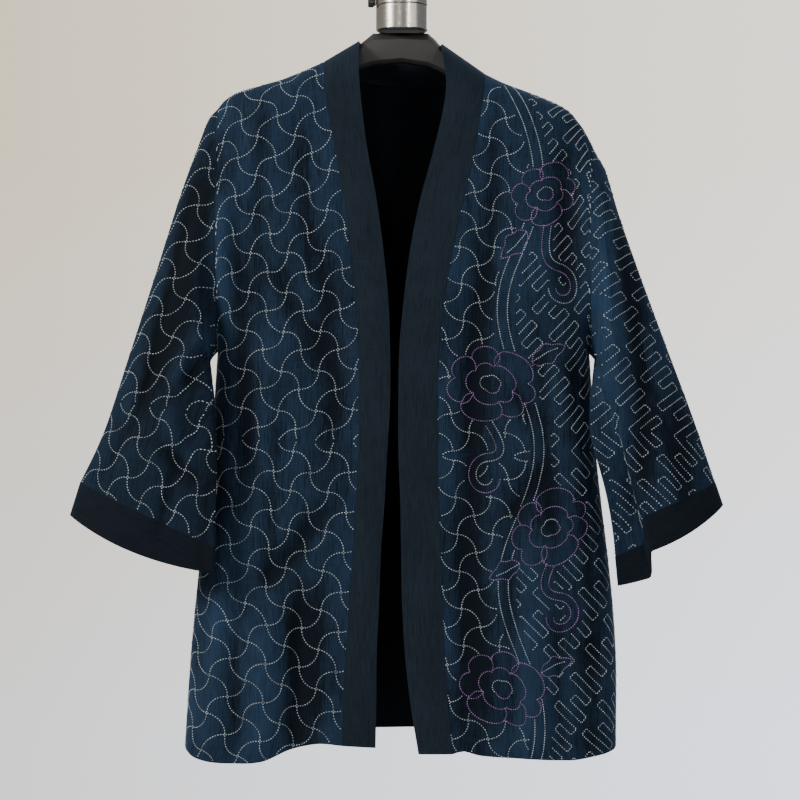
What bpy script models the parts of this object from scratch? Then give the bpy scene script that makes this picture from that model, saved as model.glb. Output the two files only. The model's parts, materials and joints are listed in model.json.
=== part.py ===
"""A kimono cardigan hung on a shaped hanger under a short steel tube.

The origin is the centre of the tube's top face. +X is the garment's right side
as seen from the front, +Y points to its back and +Z up. Metres throughout.

Each cloth piece is a wall of constant thickness through a grid of points. The
grids of pieces that are sewn together share their seam's points, and each
stands back from them by half the seam gap.
"""

import math

import bmesh
import bpy
import numpy as np

# ---------------------------------------------------------------- named sizes
WALL = 0.0018  # cloth thickness
BAND_WALL = 0.0026  # the neckband and the cuffs are double cloth
SEAM = 0.00032  # gap between sewn pieces
FRONT_DEPTH = 0.045  # how far the front hangs ahead of the shoulder ridge
BACK_DEPTH = 0.040
NECK_DEPTH = 0.046  # how far back the neckband stands
RIDGE_ROUND = 0.045  # height over which the cloth rolls over the shoulder
SIDE_ROUND = 0.032  # width over which it rolls round the body's side
ARM_GAP = 0.0018  # widening of the armhole's gap, at the armpit only

ARM_STEPS = 13  # steps down one half of an armhole, and round half a sleeve
SIDE_STEPS = 11  # steps from the armpit to the hem
FRONT_STEPS = 9  # steps from the neckband to the side, on the fronts and each shoulder of the back
BAND_STEPS = 3
NECK_STEPS = 12
SLEEVE_STEPS = 13

# The two front edges. Columns: height, the left band's outer and inner edge,
# the right band's inner and outer edge.
BAND = [
    (-0.099, -0.0855, -0.0480, 0.0480, 0.0905),
    (-0.143, -0.0820, -0.0450, 0.0470, 0.0870),
    (-0.198, -0.0730, -0.0380, 0.0350, 0.0790),
    (-0.253, -0.0630, -0.0280, 0.0200, 0.0670),
    (-0.308, -0.0560, -0.0205, 0.0090, 0.0550),
    (-0.363, -0.0500, -0.0150, 0.0020, 0.0460),
    (-0.418, -0.0470, -0.0130, -0.0030, 0.0400),
    (-0.473, -0.0460, -0.0130, -0.0040, 0.0385),
    (-0.528, -0.0475, -0.0160, -0.0040, 0.0385),
    (-0.583, -0.0500, -0.0190, -0.0020, 0.0400),
    (-0.638, -0.0530, -0.0230, -0.0010, 0.0420),
    (-0.693, -0.0570, -0.0250, 0.0000, 0.0435),
    (-0.748, -0.0610, -0.0275, 0.0030, 0.0460),
    (-0.803, -0.0640, -0.0280, 0.0090, 0.0500),
    (-0.859, -0.0650, -0.0290, 0.0180, 0.0550),
]

# The shoulder ridges, from the neckband's seam to the armhole. Columns: x, z.
RIDGE = {
    "left": [(-0.0850, -0.0990), (-0.1300, -0.1180), (-0.1820, -0.1330), (-0.1960, -0.1420), (-0.2035, -0.1510)],
    "right": [(0.0900, -0.1120), (0.1130, -0.1230), (0.1460, -0.1355), (0.1820, -0.1520), (0.1980, -0.1700), (0.2068, -0.1850)],
}
# The ridge of the band itself: its inner edge where it tops the shoulder.
BAND_TOP = {"left": (-0.0470, -0.0765), "right": (0.0435, -0.0795)}
ARMPIT_Z = {"left": -0.418, "right": -0.420}

# The body's side seams below the armpit. Columns: z, x.
SIDE = {
    "left": [(-0.418, -0.2035), (-0.540, -0.2120), (-0.662, -0.2245), (-0.750, -0.2330), (-0.856, -0.2400)],
    "right": [(-0.420, 0.2068), (-0.540, 0.2150), (-0.679, 0.2310), (-0.760, 0.2365), (-0.856, 0.2365)],
}
# The hems of the fronts and the back. Columns: x, z.
HEM = {
    "left": [(-0.2400, -0.8560), (-0.2280, -0.8640), (-0.1950, -0.8690), (-0.1540, -0.8670), (-0.1240, -0.8550), (-0.0900, -0.8480), (-0.0650, -0.8500), (-0.0290, -0.8520)],
    "right": [(0.0180, -0.8590), (0.0550, -0.8590), (0.0660, -0.8560), (0.0860, -0.8610), (0.1410, -0.8640), (0.1850, -0.8660), (0.2180, -0.8610), (0.2365, -0.8560)],
}
BACK_HEM_DROP = 0.0150  # how far the back hem stays above the corners of the fronts

# The sleeves. Columns: share of the way to the cuff's seam, the outer edge's
# x, y, z, the inner edge's x, y, z, half the depth, and how much of that depth
# is left beside the inner edge.
SLEEVE = {
    "left": [
        (0.00, -0.2035, 0.000, -0.1510, -0.2035, 0.000, -0.4180, 0.0400, 1.00),
        (0.08, -0.2140, 0.000, -0.1640, -0.2110, -0.016, -0.4290, 0.0385, 0.80),
        (0.18, -0.2280, 0.000, -0.2000, -0.2105, -0.036, -0.4440, 0.0365, 0.55),
        (0.30, -0.2450, -0.003, -0.2480, -0.2050, -0.053, -0.4640, 0.0345, 0.42),
        (0.45, -0.2700, -0.008, -0.3290, -0.2025, -0.063, -0.4960, 0.0330, 0.38),
        (0.62, -0.2980, -0.014, -0.4180, -0.2005, -0.065, -0.5380, 0.0315, 0.38),
        (0.80, -0.3270, -0.020, -0.5080, -0.2020, -0.066, -0.5850, 0.0295, 0.40),
        (1.00, -0.3520, -0.026, -0.5630, -0.2025, -0.067, -0.6320, 0.0270, 0.44),
    ],
    "right": [
        (0.00, 0.2068, 0.000, -0.1850, 0.2068, 0.000, -0.4200, 0.0400, 1.00),
        (0.08, 0.2145, 0.000, -0.2010, 0.2140, -0.016, -0.4310, 0.0385, 0.80),
        (0.18, 0.2250, 0.000, -0.2200, 0.2120, -0.036, -0.4460, 0.0365, 0.55),
        (0.30, 0.2400, -0.003, -0.2700, 0.2055, -0.053, -0.4670, 0.0345, 0.42),
        (0.45, 0.2640, -0.008, -0.3400, 0.2035, -0.063, -0.5000, 0.0330, 0.38),
        (0.62, 0.2910, -0.014, -0.4150, 0.2055, -0.065, -0.5400, 0.0315, 0.38),
        (0.80, 0.3180, -0.020, -0.4890, 0.2095, -0.066, -0.5830, 0.0295, 0.40),
        (1.00, 0.3430, -0.026, -0.5640, 0.2200, -0.068, -0.6160, 0.0270, 0.44),
    ],
}
# The cuffs' lower ends, with the columns of SLEEVE after the first.
CUFF_END = {
    "left": (-0.3630, -0.028, -0.5990, -0.2025, -0.068, -0.6600, 0.0275, 0.46),
    "right": (0.3510, -0.028, -0.5880, 0.2220, -0.069, -0.6480, 0.0275, 0.46),
}
CUFF_SAG = 0.010  # how far the middle of a cuff's lower end hangs down
# The right cuff folds over itself: its inner part hangs lower, set back.
TUCK = {"drop": 0.028, "back": 0.010, "from": 0.66, "to": 0.76}

# The largest folds. Columns: x and z of a fold's start, middle and end, its
# half width, and how far it stands out (or in, below zero). Metres.
FRONT_FOLDS = [
    (-0.211, -0.198, -0.239, -0.341, -0.274, -0.506, 0.017, -0.0060),
    (-0.206, -0.396, -0.233, -0.431, -0.254, -0.462, 0.011, 0.0060),
    (-0.257, -0.478, -0.242, -0.517, -0.222, -0.550, 0.011, 0.0060),
    (-0.262, -0.520, -0.236, -0.545, -0.216, -0.566, 0.011, -0.0050),
    (-0.222, -0.413, -0.226, -0.440, -0.230, -0.462, 0.010, -0.0040),
    (-0.198, -0.240, -0.196, -0.330, -0.194, -0.400, 0.012, 0.0040),
    (-0.178, -0.264, -0.172, -0.418, -0.167, -0.583, 0.013, -0.0055),
    (-0.088, -0.286, -0.076, -0.407, -0.070, -0.528, 0.014, -0.0045),
    (-0.145, -0.319, -0.110, -0.385, -0.078, -0.446, 0.012, -0.0030),
    (-0.074, -0.578, -0.112, -0.632, -0.162, -0.688, 0.013, -0.0040),
    (-0.110, -0.682, -0.112, -0.759, -0.116, -0.870, 0.014, -0.0080),
    (-0.147, -0.693, -0.154, -0.781, -0.158, -0.880, 0.020, 0.0060),
    (-0.200, -0.693, -0.204, -0.781, -0.206, -0.880, 0.018, 0.0040),
    (0.091, -0.253, 0.077, -0.528, 0.086, -0.870, 0.014, -0.0055),
    (0.118, -0.457, 0.135, -0.479, 0.157, -0.501, 0.012, -0.0030),
    (0.163, -0.544, 0.138, -0.574, 0.112, -0.605, 0.012, -0.0030),
    (0.176, -0.187, 0.178, -0.275, 0.180, -0.374, 0.013, -0.0055),
    (0.184, -0.418, 0.190, -0.462, 0.190, -0.506, 0.011, -0.0035),
    (0.212, -0.226, 0.224, -0.396, 0.240, -0.590, 0.014, 0.0050),
    (0.242, -0.242, 0.256, -0.407, 0.266, -0.583, 0.013, -0.0045),
    (0.296, -0.470, 0.306, -0.530, 0.312, -0.600, 0.010, -0.0035),
    (0.139, -0.700, 0.141, -0.790, 0.143, -0.880, 0.020, 0.0050),
    (0.204, -0.720, 0.206, -0.790, 0.208, -0.880, 0.014, -0.0045),
]
BACK_FOLDS = [
    (-0.120, -0.190, -0.145, -0.480, -0.160, -0.870, 0.018, -0.0060),
    (-0.050, -0.420, -0.062, -0.640, -0.070, -0.870, 0.017, -0.0060),
    (0.030, -0.330, 0.024, -0.600, 0.012, -0.870, 0.020, 0.0060),
    (0.112, -0.220, 0.104, -0.520, 0.118, -0.870, 0.017, -0.0060),
    (0.172, -0.330, 0.176, -0.600, 0.186, -0.870, 0.018, 0.0050),
    (-0.196, -0.240, -0.188, -0.420, -0.176, -0.560, 0.014, 0.0045),
    (-0.250, -0.260, -0.278, -0.400, -0.300, -0.540, 0.015, -0.0050),
    (0.256, -0.290, 0.278, -0.430, 0.300, -0.570, 0.015, -0.0050),
]

# The hanger. Columns: x, how far its top lies under the cloth's middle (the yoke
# between the bands has its own top instead), z of its bottom edge, half its thickness.
REST = 0.0015  # under single cloth: half the wall, the slope's share and a 0.4 mm gap
BAND_REST = 0.0026
HANGER = [
    (-0.1760, 0.0060, -0.1440, 0.0040),
    (-0.1700, REST, -0.1460, 0.0070),
    (-0.1500, REST, -0.1430, 0.0090),
    (-0.1300, REST, -0.1380, 0.0100),
    (-0.1070, REST, -0.1310, 0.0105),
    (-0.0850, 0.0034, -0.1230, 0.0100),
    (-0.0660, BAND_REST, -0.1145, 0.0115),
    (-0.0480, BAND_REST, -0.1070, 0.0120),
    (-0.0400, None, -0.1045, 0.0120),
    (-0.0320, None, -0.1020, 0.0125),
    (0.0000, None, -0.0990, 0.0130),
    (0.0290, None, -0.1035, 0.0125),
    (0.0370, None, -0.1070, 0.0120),
    (0.0445, BAND_REST, -0.1105, 0.0120),
    (0.0660, BAND_REST, -0.1210, 0.0115),
    (0.0900, 0.0034, -0.1330, 0.0100),
    (0.1130, REST, -0.1430, 0.0105),
    (0.1460, REST, -0.1550, 0.0095),
    (0.1680, REST, -0.1620, 0.0070),
    (0.1740, 0.0060, -0.1610, 0.0040),
]
YOKE_TOP = [(-0.0400, -0.0735), (-0.0320, -0.0668), (0.0000, -0.0660), (0.0290, -0.0668), (0.0370, -0.0738)]
TUBE_R = 0.029
TUBE_WALL = 0.0020
TUBE_JOINT_Z = -0.0363  # where the tube's upper length meets the lower one
TUBE_END_Z = -0.0640
CORE_END_Z = -0.0656
KNOB = {"r": 0.0055, "length": 0.0085, "z": -0.0325}

# Colour, roughness and metallic value of each material.
LOOKS = {
    "indigo_cloth": ((0.010, 0.030, 0.075), 0.85, 0.0),
    "band_cloth": ((0.016, 0.032, 0.060), 0.80, 0.0),
    "black_plastic": ((0.030, 0.028, 0.026), 0.45, 0.0),
    "steel": ((0.56, 0.56, 0.55), 0.25, 1.0),
}


# ------------------------------------------------------------ small functions
def curve(rows, at, column=1):
    """A smooth curve through the rows of a table, read at one value of the first column."""
    xs = [row[0] for row in rows]
    ys = [row[column] for row in rows]
    if xs[0] > xs[-1]:
        xs, ys = xs[::-1], ys[::-1]
    at = min(max(at, xs[0]), xs[-1])
    i = min(max(int(np.searchsorted(xs, at)) - 1, 0), len(xs) - 2)

    def slope(k):
        low, high = max(k - 1, 0), min(k + 1, len(xs) - 1)
        return (ys[high] - ys[low]) / (xs[high] - xs[low])

    h = xs[i + 1] - xs[i]
    t = (at - xs[i]) / h
    return (
        (2 * t**3 - 3 * t**2 + 1) * ys[i]
        + (t**3 - 2 * t**2 + t) * h * slope(i)
        + (3 * t**2 - 2 * t**3) * ys[i + 1]
        + (t**3 - t**2) * h * slope(i + 1)
    )


def soft_step(t):
    t = min(max(t, 0.0), 1.0)
    return t * t * (3 - 2 * t)


def across(i):
    """The share of the way from the neckband's seam to the side, closer together at the side."""
    return 0.55 * i / FRONT_STEPS + 0.45 * math.sin(math.pi / 2 * i / FRONT_STEPS)


def along_ridge(side, share):
    """A point on the shoulder ridge, at a share of its width from the neckband."""
    x = RIDGE[side][0][0] + (RIDGE[side][-1][0] - RIDGE[side][0][0]) * share
    return np.array([x, 0.0, curve(RIDGE[side], x)])


def fold_height(folds, x, z):
    """How far the folds push the cloth out at one point."""
    total = 0.0
    for x1, z1, x2, z2, x3, z3, width, depth in folds:
        near, part = 1e9, 0.0
        for (ax, az, bx, bz), start in (((x1, z1, x2, z2), 0.0), ((x2, z2, x3, z3), 0.5)):
            dx, dz = bx - ax, bz - az
            t = min(max(((x - ax) * dx + (z - az) * dz) / (dx * dx + dz * dz), 0.0), 1.0)
            away = math.hypot(x - ax - t * dx, z - az - t * dz)
            if away < near:
                near, part = away, start + t / 2
        fade = soft_step(part / 0.22) * soft_step((1.0 - part) / 0.22)
        total += depth * math.exp(-((near / width) ** 2)) * (0.25 + 0.75 * fade)
    return total


def round_over(reach):
    """Quarter-ellipse roll: 0 at the edge, 1 from one radius in."""
    s = min(max(reach, 0.0), 1.0)
    return math.sqrt(max(1.0 - (1.0 - s) ** 2, 0.0))


def arm_half(side):
    top, pit = RIDGE[side][-1][1], ARMPIT_Z[side]
    return (top + pit) / 2, (top - pit) / 2


def depth_share(side, x, z, top_z, share):
    """How much of the full depth the body has, rolled in at the ridge and the side seam."""
    centre, half = arm_half(side)
    down = round_over((top_z - z) / (RIDGE_ROUND + (half - RIDGE_ROUND) * soft_step((share - 0.45) / 0.55)))
    sign = -1.0 if side == "left" else 1.0
    edge = RIDGE[side][-1][0] if z > ARMPIT_Z[side] else curve(SIDE[side], z)
    inward = min(max((edge - x) * sign / SIDE_ROUND, 0.0), 1.0)
    if z >= centre:
        keep = 1.0
    elif z > ARMPIT_Z[side]:
        keep = math.sqrt(max(1.0 - ((z - centre) / half) ** 2, 0.0))
    else:
        keep = 0.0
    return down * math.sqrt(1.0 - (1.0 - keep**2) * (1.0 - inward) ** 2)


def arm_rows(side):
    """Heights of the rows down one side: the armhole by angle, then the side seam."""
    centre, half = arm_half(side)
    rows = [centre + half * math.cos(math.pi * j / ARM_STEPS) for j in range(ARM_STEPS + 1)]
    rows[-1] = ARMPIT_Z[side]
    return rows


def side_rows(side, bottom):
    start = ARMPIT_Z[side]
    return [start + (bottom - start) * j / SIDE_STEPS for j in range(1, SIDE_STEPS + 1)]


def coons(top, bottom, left, right, u, v):
    """A point of the patch between four edges, given their points at u and v."""
    (t0, t, t1), (b0, b, b1) = top, bottom
    flat = (1 - v) * t + v * b
    across = (1 - u) * left + u * right
    corners = (1 - u) * (1 - v) * t0 + u * (1 - v) * t1 + (1 - u) * v * b0 + u * v * b1
    return flat + across - corners


# ------------------------------------------------------------- the body panels
def edge_heights(side, inner):
    """Heights of a band edge's rows, level with the body's rows where it can be."""
    rows = arm_rows(side) + side_rows(side, SIDE[side][-1][0])
    top = BAND_TOP[side][1] if inner else RIDGE[side][0][1]
    hem_x = curve(BAND, -0.859, (2 if side == "left" else 3) if inner else (1 if side == "left" else 4))
    bottom = curve(HEM[side], hem_x)
    return [top + (z - rows[0]) * (bottom - top) / (rows[-1] - rows[0]) for z in rows]


def band_edge_x(side, inner, z, top_x, top_z):
    column = (2 if side == "left" else 3) if inner else (1 if side == "left" else 4)
    x = curve(BAND, z, column)
    blend = soft_step((top_z - z) / 0.05)
    return top_x + (x - top_x) * blend if z > top_z - 0.05 else x


def band_edge_front(side, inner):
    """The points of one edge of the band on the front, from the ridge to the hem."""
    top_x, top_z = BAND_TOP[side] if inner else RIDGE[side][0]
    points = []
    for z in edge_heights(side, inner):
        x = band_edge_x(side, inner, z, top_x, top_z)
        down = round_over((top_z - z) / RIDGE_ROUND)
        y = -(FRONT_DEPTH + fold_height(FRONT_FOLDS, x, z)) * down
        points.append(np.array([x, y, z]))
    points[0][1] = 0.0
    return points


def front_panel(side):
    seam = band_edge_front(side, False)
    rows = arm_rows(side) + side_rows(side, SIDE[side][-1][0])
    count = len(rows)
    outer = []
    for z in rows:
        x = RIDGE[side][-1][0] if z >= ARMPIT_Z[side] else curve(SIDE[side], z)
        outer.append(np.array([x, 0.0, z]))
    hem = []
    for i in range(FRONT_STEPS + 1):
        x = seam[-1][0] + (outer[-1][0] - seam[-1][0]) * across(i)
        hem.append(np.array([x, 0.0, curve(HEM[side], x)]))
    ridge = [along_ridge(side, across(i)) for i in range(FRONT_STEPS + 1)]
    grid = np.zeros((FRONT_STEPS + 1, count, 3))
    flat_seam = [p * np.array([1, 0, 1]) for p in seam]
    for i in range(FRONT_STEPS + 1):
        u = across(i)
        for j in range(count):
            v = (rows[j] - rows[0]) / (rows[-1] - rows[0])
            p = coons((ridge[0], ridge[i], ridge[-1]), (hem[0], hem[i], hem[-1]), flat_seam[j], outer[j], u, v)
            top_z = ridge[i][2]
            if i == 0:
                grid[i, j] = seam[j]
                continue
            if i == FRONT_STEPS and j <= ARM_STEPS:
                down = math.sin(math.pi * j / ARM_STEPS)
            else:
                down = depth_share(side, p[0], p[2], top_z, u)
            y = -(FRONT_DEPTH + (0.040 - FRONT_DEPTH) * soft_step((u - 0.5) / 0.5) + fold_height(FRONT_FOLDS, p[0], p[2])) * down
            grid[i, j] = (p[0], 0.0 if j == 0 else y, p[2])
    return grid


def neck_seam(side_share):
    """The back neck seam and the band's top edge above it, at a share of the way from left to right."""
    angle = math.pi * side_share
    left, right = RIDGE["left"][0], RIDGE["right"][0]
    mid, half = (left[0] + right[0]) / 2, (right[0] - left[0]) / 2
    low = left[1] + (right[1] - left[1]) * side_share - 0.0145 * math.sin(angle)
    seam = np.array([mid - half * math.cos(angle), NECK_DEPTH * math.sin(angle), low])
    (lx, lz), (rx, rz) = BAND_TOP["left"], BAND_TOP["right"]
    mid, half = (lx + rx) / 2, (rx - lx) / 2
    high = lz + (rz - lz) * side_share
    top = np.array([mid - half * math.cos(angle), (NECK_DEPTH - 0.001) * math.sin(angle), high])
    return seam, top


def back_panel():
    """One grid across the whole back: columns over the left shoulder, the neck and the right shoulder."""
    tops = [along_ridge("left", across(i)) for i in range(FRONT_STEPS, 0, -1)]
    tops += [neck_seam(i / NECK_STEPS)[0] for i in range(NECK_STEPS + 1)]
    tops += [along_ridge("right", across(i)) for i in range(1, FRONT_STEPS + 1)]
    width = tops[-1][0] - tops[0][0]
    shares = [(p[0] - tops[0][0]) / width for p in tops]
    left_hem_z = HEM["left"][0][1]
    right_hem_z = HEM["right"][-1][1]
    left_rows = arm_rows("left") + side_rows("left", left_hem_z)
    right_rows = arm_rows("right") + side_rows("right", right_hem_z)
    count = len(left_rows)
    grid = np.zeros((len(tops), count, 3))
    for i, (top, u) in enumerate(zip(tops, shares)):
        lz, rz = left_rows[-1], right_rows[-1]
        lx, rx = SIDE["left"][-1][1], SIDE["right"][-1][1]
        hem_x = lx + (rx - lx) * u
        hem_z = lz + (rz - lz) * u + BACK_HEM_DROP * math.sin(math.pi * u) ** 0.5
        for j in range(count):
            v = (left_rows[j] - left_rows[0]) / (left_rows[-1] - left_rows[0])
            left_x = RIDGE["left"][-1][0] if j <= ARM_STEPS else curve(SIDE["left"], left_rows[j])
            right_x = RIDGE["right"][-1][0] if j <= ARM_STEPS else curve(SIDE["right"], right_rows[j])
            p = coons(
                (tops[0] * [1, 0, 1], top * [1, 0, 1], tops[-1] * [1, 0, 1]),
                (np.array([lx, 0, lz]), np.array([hem_x, 0, hem_z]), np.array([rx, 0, rz])),
                np.array([left_x, 0, left_rows[j]]),
                np.array([right_x, 0, right_rows[j]]),
                u,
                v,
            )
            side = "left" if u < 0.5 else "right"
            neck = top[1] / NECK_DEPTH
            over = abs(u - 0.5) * 2
            if i in (0, len(tops) - 1) and j <= ARM_STEPS:
                down = math.sin(math.pi * j / ARM_STEPS)
            else:
                down = depth_share(side, p[0], p[2], top[2], soft_step((over - 0.3) / 0.7))
            near = neck * (1 - soft_step((top[2] - p[2]) / 0.12))
            body = (BACK_DEPTH + fold_height(BACK_FOLDS, p[0], p[2])) * down
            y = math.sqrt(body**2 * (1 - near**2) + (NECK_DEPTH * near) ** 2) if near > 0 else body
            grid[i, j] = (p[0], top[1] if j == 0 else y, p[2])
    return grid


def neckband():
    """The strip's grid: along it from the left hem to the right hem, across it from the seam to the free edge."""
    outer = band_edge_front("left", False)[::-1]
    inner = band_edge_front("left", True)[::-1]
    for i in range(1, NECK_STEPS):
        seam, top = neck_seam(i / NECK_STEPS)
        outer.append(seam)
        inner.append(top)
    outer += band_edge_front("right", False)
    inner += band_edge_front("right", True)
    grid = np.zeros((len(outer), BAND_STEPS + 1, 3))
    for i, (a, b) in enumerate(zip(outer, inner)):
        for j in range(BAND_STEPS + 1):
            w = j / BAND_STEPS
            grid[i, j] = a + (b - a) * w
    return grid


# ------------------------------------------------------------ sleeves and cuffs
def sleeve_ring(side, row, cuff=0.0):
    """One ring of a sleeve, from the outer edge down the front, round the inner edge and up the back."""
    ux, uy, uz, lx, ly, lz, depth, keep = row
    outer, inner = np.array([ux, uy, uz]), np.array([lx, ly, lz])
    centre, reach = (outer + inner) / 2, (outer - inner) / 2
    sign = -1.0 if side == "left" else 1.0
    length = math.hypot(reach[0], reach[2])
    down = np.array([-sign * reach[2] / length, 0.0, sign * reach[0] / length])
    if down[2] > 0:
        down = -down
    ring = []
    for j in range(2 * ARM_STEPS):
        angle = math.pi * j / ARM_STEPS
        share = (1 - math.cos(angle)) / 2
        thin = 1 + (keep - 1) * soft_step((share - 0.25) / 0.75)
        p = centre + reach * math.cos(angle)
        front = math.sin(angle)
        p = p + np.array([0.0, -depth * thin * front, 0.0])
        p = p + down * CUFF_SAG * cuff * front**2
        if side == "right":
            step = soft_step((share - TUCK["from"]) / (TUCK["to"] - TUCK["from"])) * tuck_share(row)
            p = p + down * TUCK["drop"] * step + np.array([0.0, TUCK["back"] * step * max(front, 0.0), 0.0])
        folds = FRONT_FOLDS if front > 0 else BACK_FOLDS
        lift = fold_height(folds, p[0], p[2]) * abs(front) * min(1.0, thin * 1.3)
        p = p + np.array([0.0, -lift if front > 0 else lift, 0.0])
        ring.append(p)
    return ring


def tuck_share(row):
    """The tuck fades out up the sleeve."""
    return soft_step((-0.50 - row[5]) / 0.10)


def sleeve_row(side, share):
    return [curve(SLEEVE[side], share, column) for column in range(1, 9)]


def arm_gap(j):
    """The armhole's gap widens round the armpit, where three pieces turn at once."""
    angle = 180.0 * min(j, 2 * ARM_STEPS - j) / ARM_STEPS
    return ARM_GAP * soft_step((angle - 50.0) / 110.0)


def sleeve(side):
    rings = []
    for k in range(SLEEVE_STEPS + 1):
        share = (k / SLEEVE_STEPS) ** 1.15
        rings.append(sleeve_ring(side, sleeve_row(side, share)))
    return np.array(rings)


def cuff(side):
    start = sleeve_row(side, 1.0)
    end = list(CUFF_END[side])
    rings = []
    for k in range(3):
        row = [a + (b - a) * k / 2 for a, b in zip(start, end)]
        rings.append(sleeve_ring(side, row, k / 2))
    return np.array(rings)


# ----------------------------------------------------------- walls from grids
def grid_normals(grid, closed):
    """Unit normals of a grid by differences; closed says that its columns run round."""
    if closed:
        du = np.roll(grid, -1, axis=1) - np.roll(grid, 1, axis=1)
    else:
        du = np.gradient(grid, axis=1)
    dv = np.gradient(grid, axis=0)
    normals = np.cross(dv, du)
    return normals / np.maximum(np.linalg.norm(normals, axis=2, keepdims=True), 1e-12)


def seam_keys(grid):
    return [[tuple(np.round(p * 2e4).astype(int)) for p in row] for row in grid]


def share_seam_normals(pieces):
    """Gives pieces that meet at a seam point one direction there, so that their walls' ends match."""
    sums = {}
    for grid, normals, closed in pieces.values():
        keys = seam_keys(grid)
        for i, j in rim_points(grid, closed):
            sums.setdefault(keys[i][j], []).append(normals[i, j])
    for grid, normals, closed in pieces.values():
        keys = seam_keys(grid)
        for i, j in rim_points(grid, closed):
            total = np.sum(sums[keys[i][j]], axis=0)
            normals[i, j] = total / np.linalg.norm(total)


def rim_points(grid, closed):
    rows, columns = grid.shape[:2]
    found = set()
    for j in range(columns):
        found |= {(0, j), (rows - 1, j)}
    if not closed:
        for i in range(rows):
            found |= {(i, 0), (i, columns - 1)}
    return sorted(found)


def stand_back(grid, closed):
    """Moves each rim inward by half the seam gap."""
    moved = grid.copy()
    rows, columns = grid.shape[:2]

    def pull(i, j, k, m):
        step = grid[k, m] - grid[i, j]
        moved[i, j] += step / np.linalg.norm(step) * SEAM / 2

    for j in range(columns):
        pull(0, j, 1, j)
        pull(rows - 1, j, rows - 2, j)
    if not closed:
        for i in range(rows):
            pull(i, 0, i, 1)
            pull(i, columns - 1, i, columns - 2)
    return moved


def wall(name, grid, normals, closed, thickness, material):
    """Builds the closed wall of one piece through its grid."""
    rows, columns = grid.shape[:2]
    mesh = bmesh.new()
    front = [[mesh.verts.new(grid[i, j] + normals[i, j] * thickness / 2) for j in range(columns)] for i in range(rows)]
    back = [[mesh.verts.new(grid[i, j] - normals[i, j] * thickness / 2) for j in range(columns)] for i in range(rows)]
    last = columns if closed else columns - 1
    for i in range(rows - 1):
        for j in range(last):
            k = (j + 1) % columns
            mesh.faces.new((front[i][j], front[i + 1][j], front[i + 1][k], front[i][k]))
            mesh.faces.new((back[i][j], back[i][k], back[i + 1][k], back[i + 1][j]))
    for j in range(last):
        k = (j + 1) % columns
        mesh.faces.new((front[0][j], front[0][k], back[0][k], back[0][j]))
        mesh.faces.new((front[-1][j], back[-1][j], back[-1][k], front[-1][k]))
    if not closed:
        for i in range(rows - 1):
            mesh.faces.new((front[i][0], back[i][0], back[i + 1][0], front[i + 1][0]))
            mesh.faces.new((front[i][-1], front[i + 1][-1], back[i + 1][-1], back[i][-1]))
    return finish(name, mesh, material)


def finish(name, mesh, material):
    bmesh.ops.recalc_face_normals(mesh, faces=mesh.faces)
    data = bpy.data.meshes.new(name)
    mesh.to_mesh(data)
    mesh.free()
    data.materials.append(material)
    data.shade_smooth()
    data.set_sharp_from_angle(angle=math.radians(50))
    piece = bpy.data.objects.new(name, data)
    bpy.context.scene.collection.objects.link(piece)
    return piece


def turned(name, profile, steps, material, place=(0, 0, 0)):
    """A round piece from its closed profile of (radius, height) points, each corner given once."""
    mesh = bmesh.new()
    rings = []
    for r, z in profile:
        if r < 1e-9:
            rings.append([mesh.verts.new((0, 0, z))])
        else:
            rings.append([mesh.verts.new((r * math.cos(2 * math.pi * k / steps), r * math.sin(2 * math.pi * k / steps), z)) for k in range(steps)])
    pairs = list(zip(rings, rings[1:]))
    if len(rings[0]) > 1:
        pairs.append((rings[-1], rings[0]))
    for a, b in pairs:
        for k in range(steps):
            m = (k + 1) % steps
            corners = [a[k % len(a)], a[m % len(a)], b[m % len(b)], b[k % len(b)]]
            kept = [c for n, c in enumerate(corners) if c not in corners[:n]]
            if len(kept) > 2:
                mesh.faces.new(kept)
    piece = finish(name, mesh, material)
    piece.location = place
    return piece


def cloth_over_hanger(x):
    """The middle of the cloth over the shoulder at x: the panels' ridge, or the band's between its two edges."""
    side = "left" if x < 0 else "right"
    seam_x, seam_z = RIDGE[side][0]
    top_x, top_z = BAND_TOP[side]
    if abs(x) > abs(seam_x):
        return curve(RIDGE[side], x)
    return seam_z + (top_z - seam_z) * (x - seam_x) / (top_x - seam_x)


def hanger(material):
    """The hanger: nine-sided sections along X, with the arms' tops narrow so that cloth rolls over them."""
    mesh = bmesh.new()
    sections = []
    for x, rest, bottom, half in HANGER:
        top = curve(YOKE_TOP, x) if rest is None else cloth_over_hanger(x) - rest
        drop = (top - bottom) * 0.26
        rise = min(0.0035, (top - bottom) * 0.25)
        outline = [
            (0, top), (half * 0.5, top - drop * 0.42), (half, top - drop), (half, bottom + rise), (half * 0.55, bottom),
            (-half * 0.55, bottom), (-half, bottom + rise), (-half, top - drop), (-half * 0.5, top - drop * 0.42),
        ]
        sections.append([mesh.verts.new((x, y, z)) for y, z in outline])
    for a, b in zip(sections, sections[1:]):
        for k in range(9):
            m = (k + 1) % 9
            mesh.faces.new((a[k], b[k], b[m], a[m]))
    mesh.faces.new(sections[0])
    mesh.faces.new(sections[-1][::-1])
    return finish("hanger", mesh, material)


def look(name):
    colour, roughness, metallic = LOOKS[name]
    material = bpy.data.materials.new(name)
    material.use_nodes = True
    shader = material.node_tree.nodes["Principled BSDF"]
    shader.inputs["Base Color"].default_value = (*colour, 1.0)
    shader.inputs["Roughness"].default_value = roughness
    shader.inputs["Metallic"].default_value = metallic
    return material


# -------------------------------------------------------------------- the part
for thing in list(bpy.data.objects):
    bpy.data.objects.remove(thing)

looks = {name: look(name) for name in LOOKS}

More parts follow.
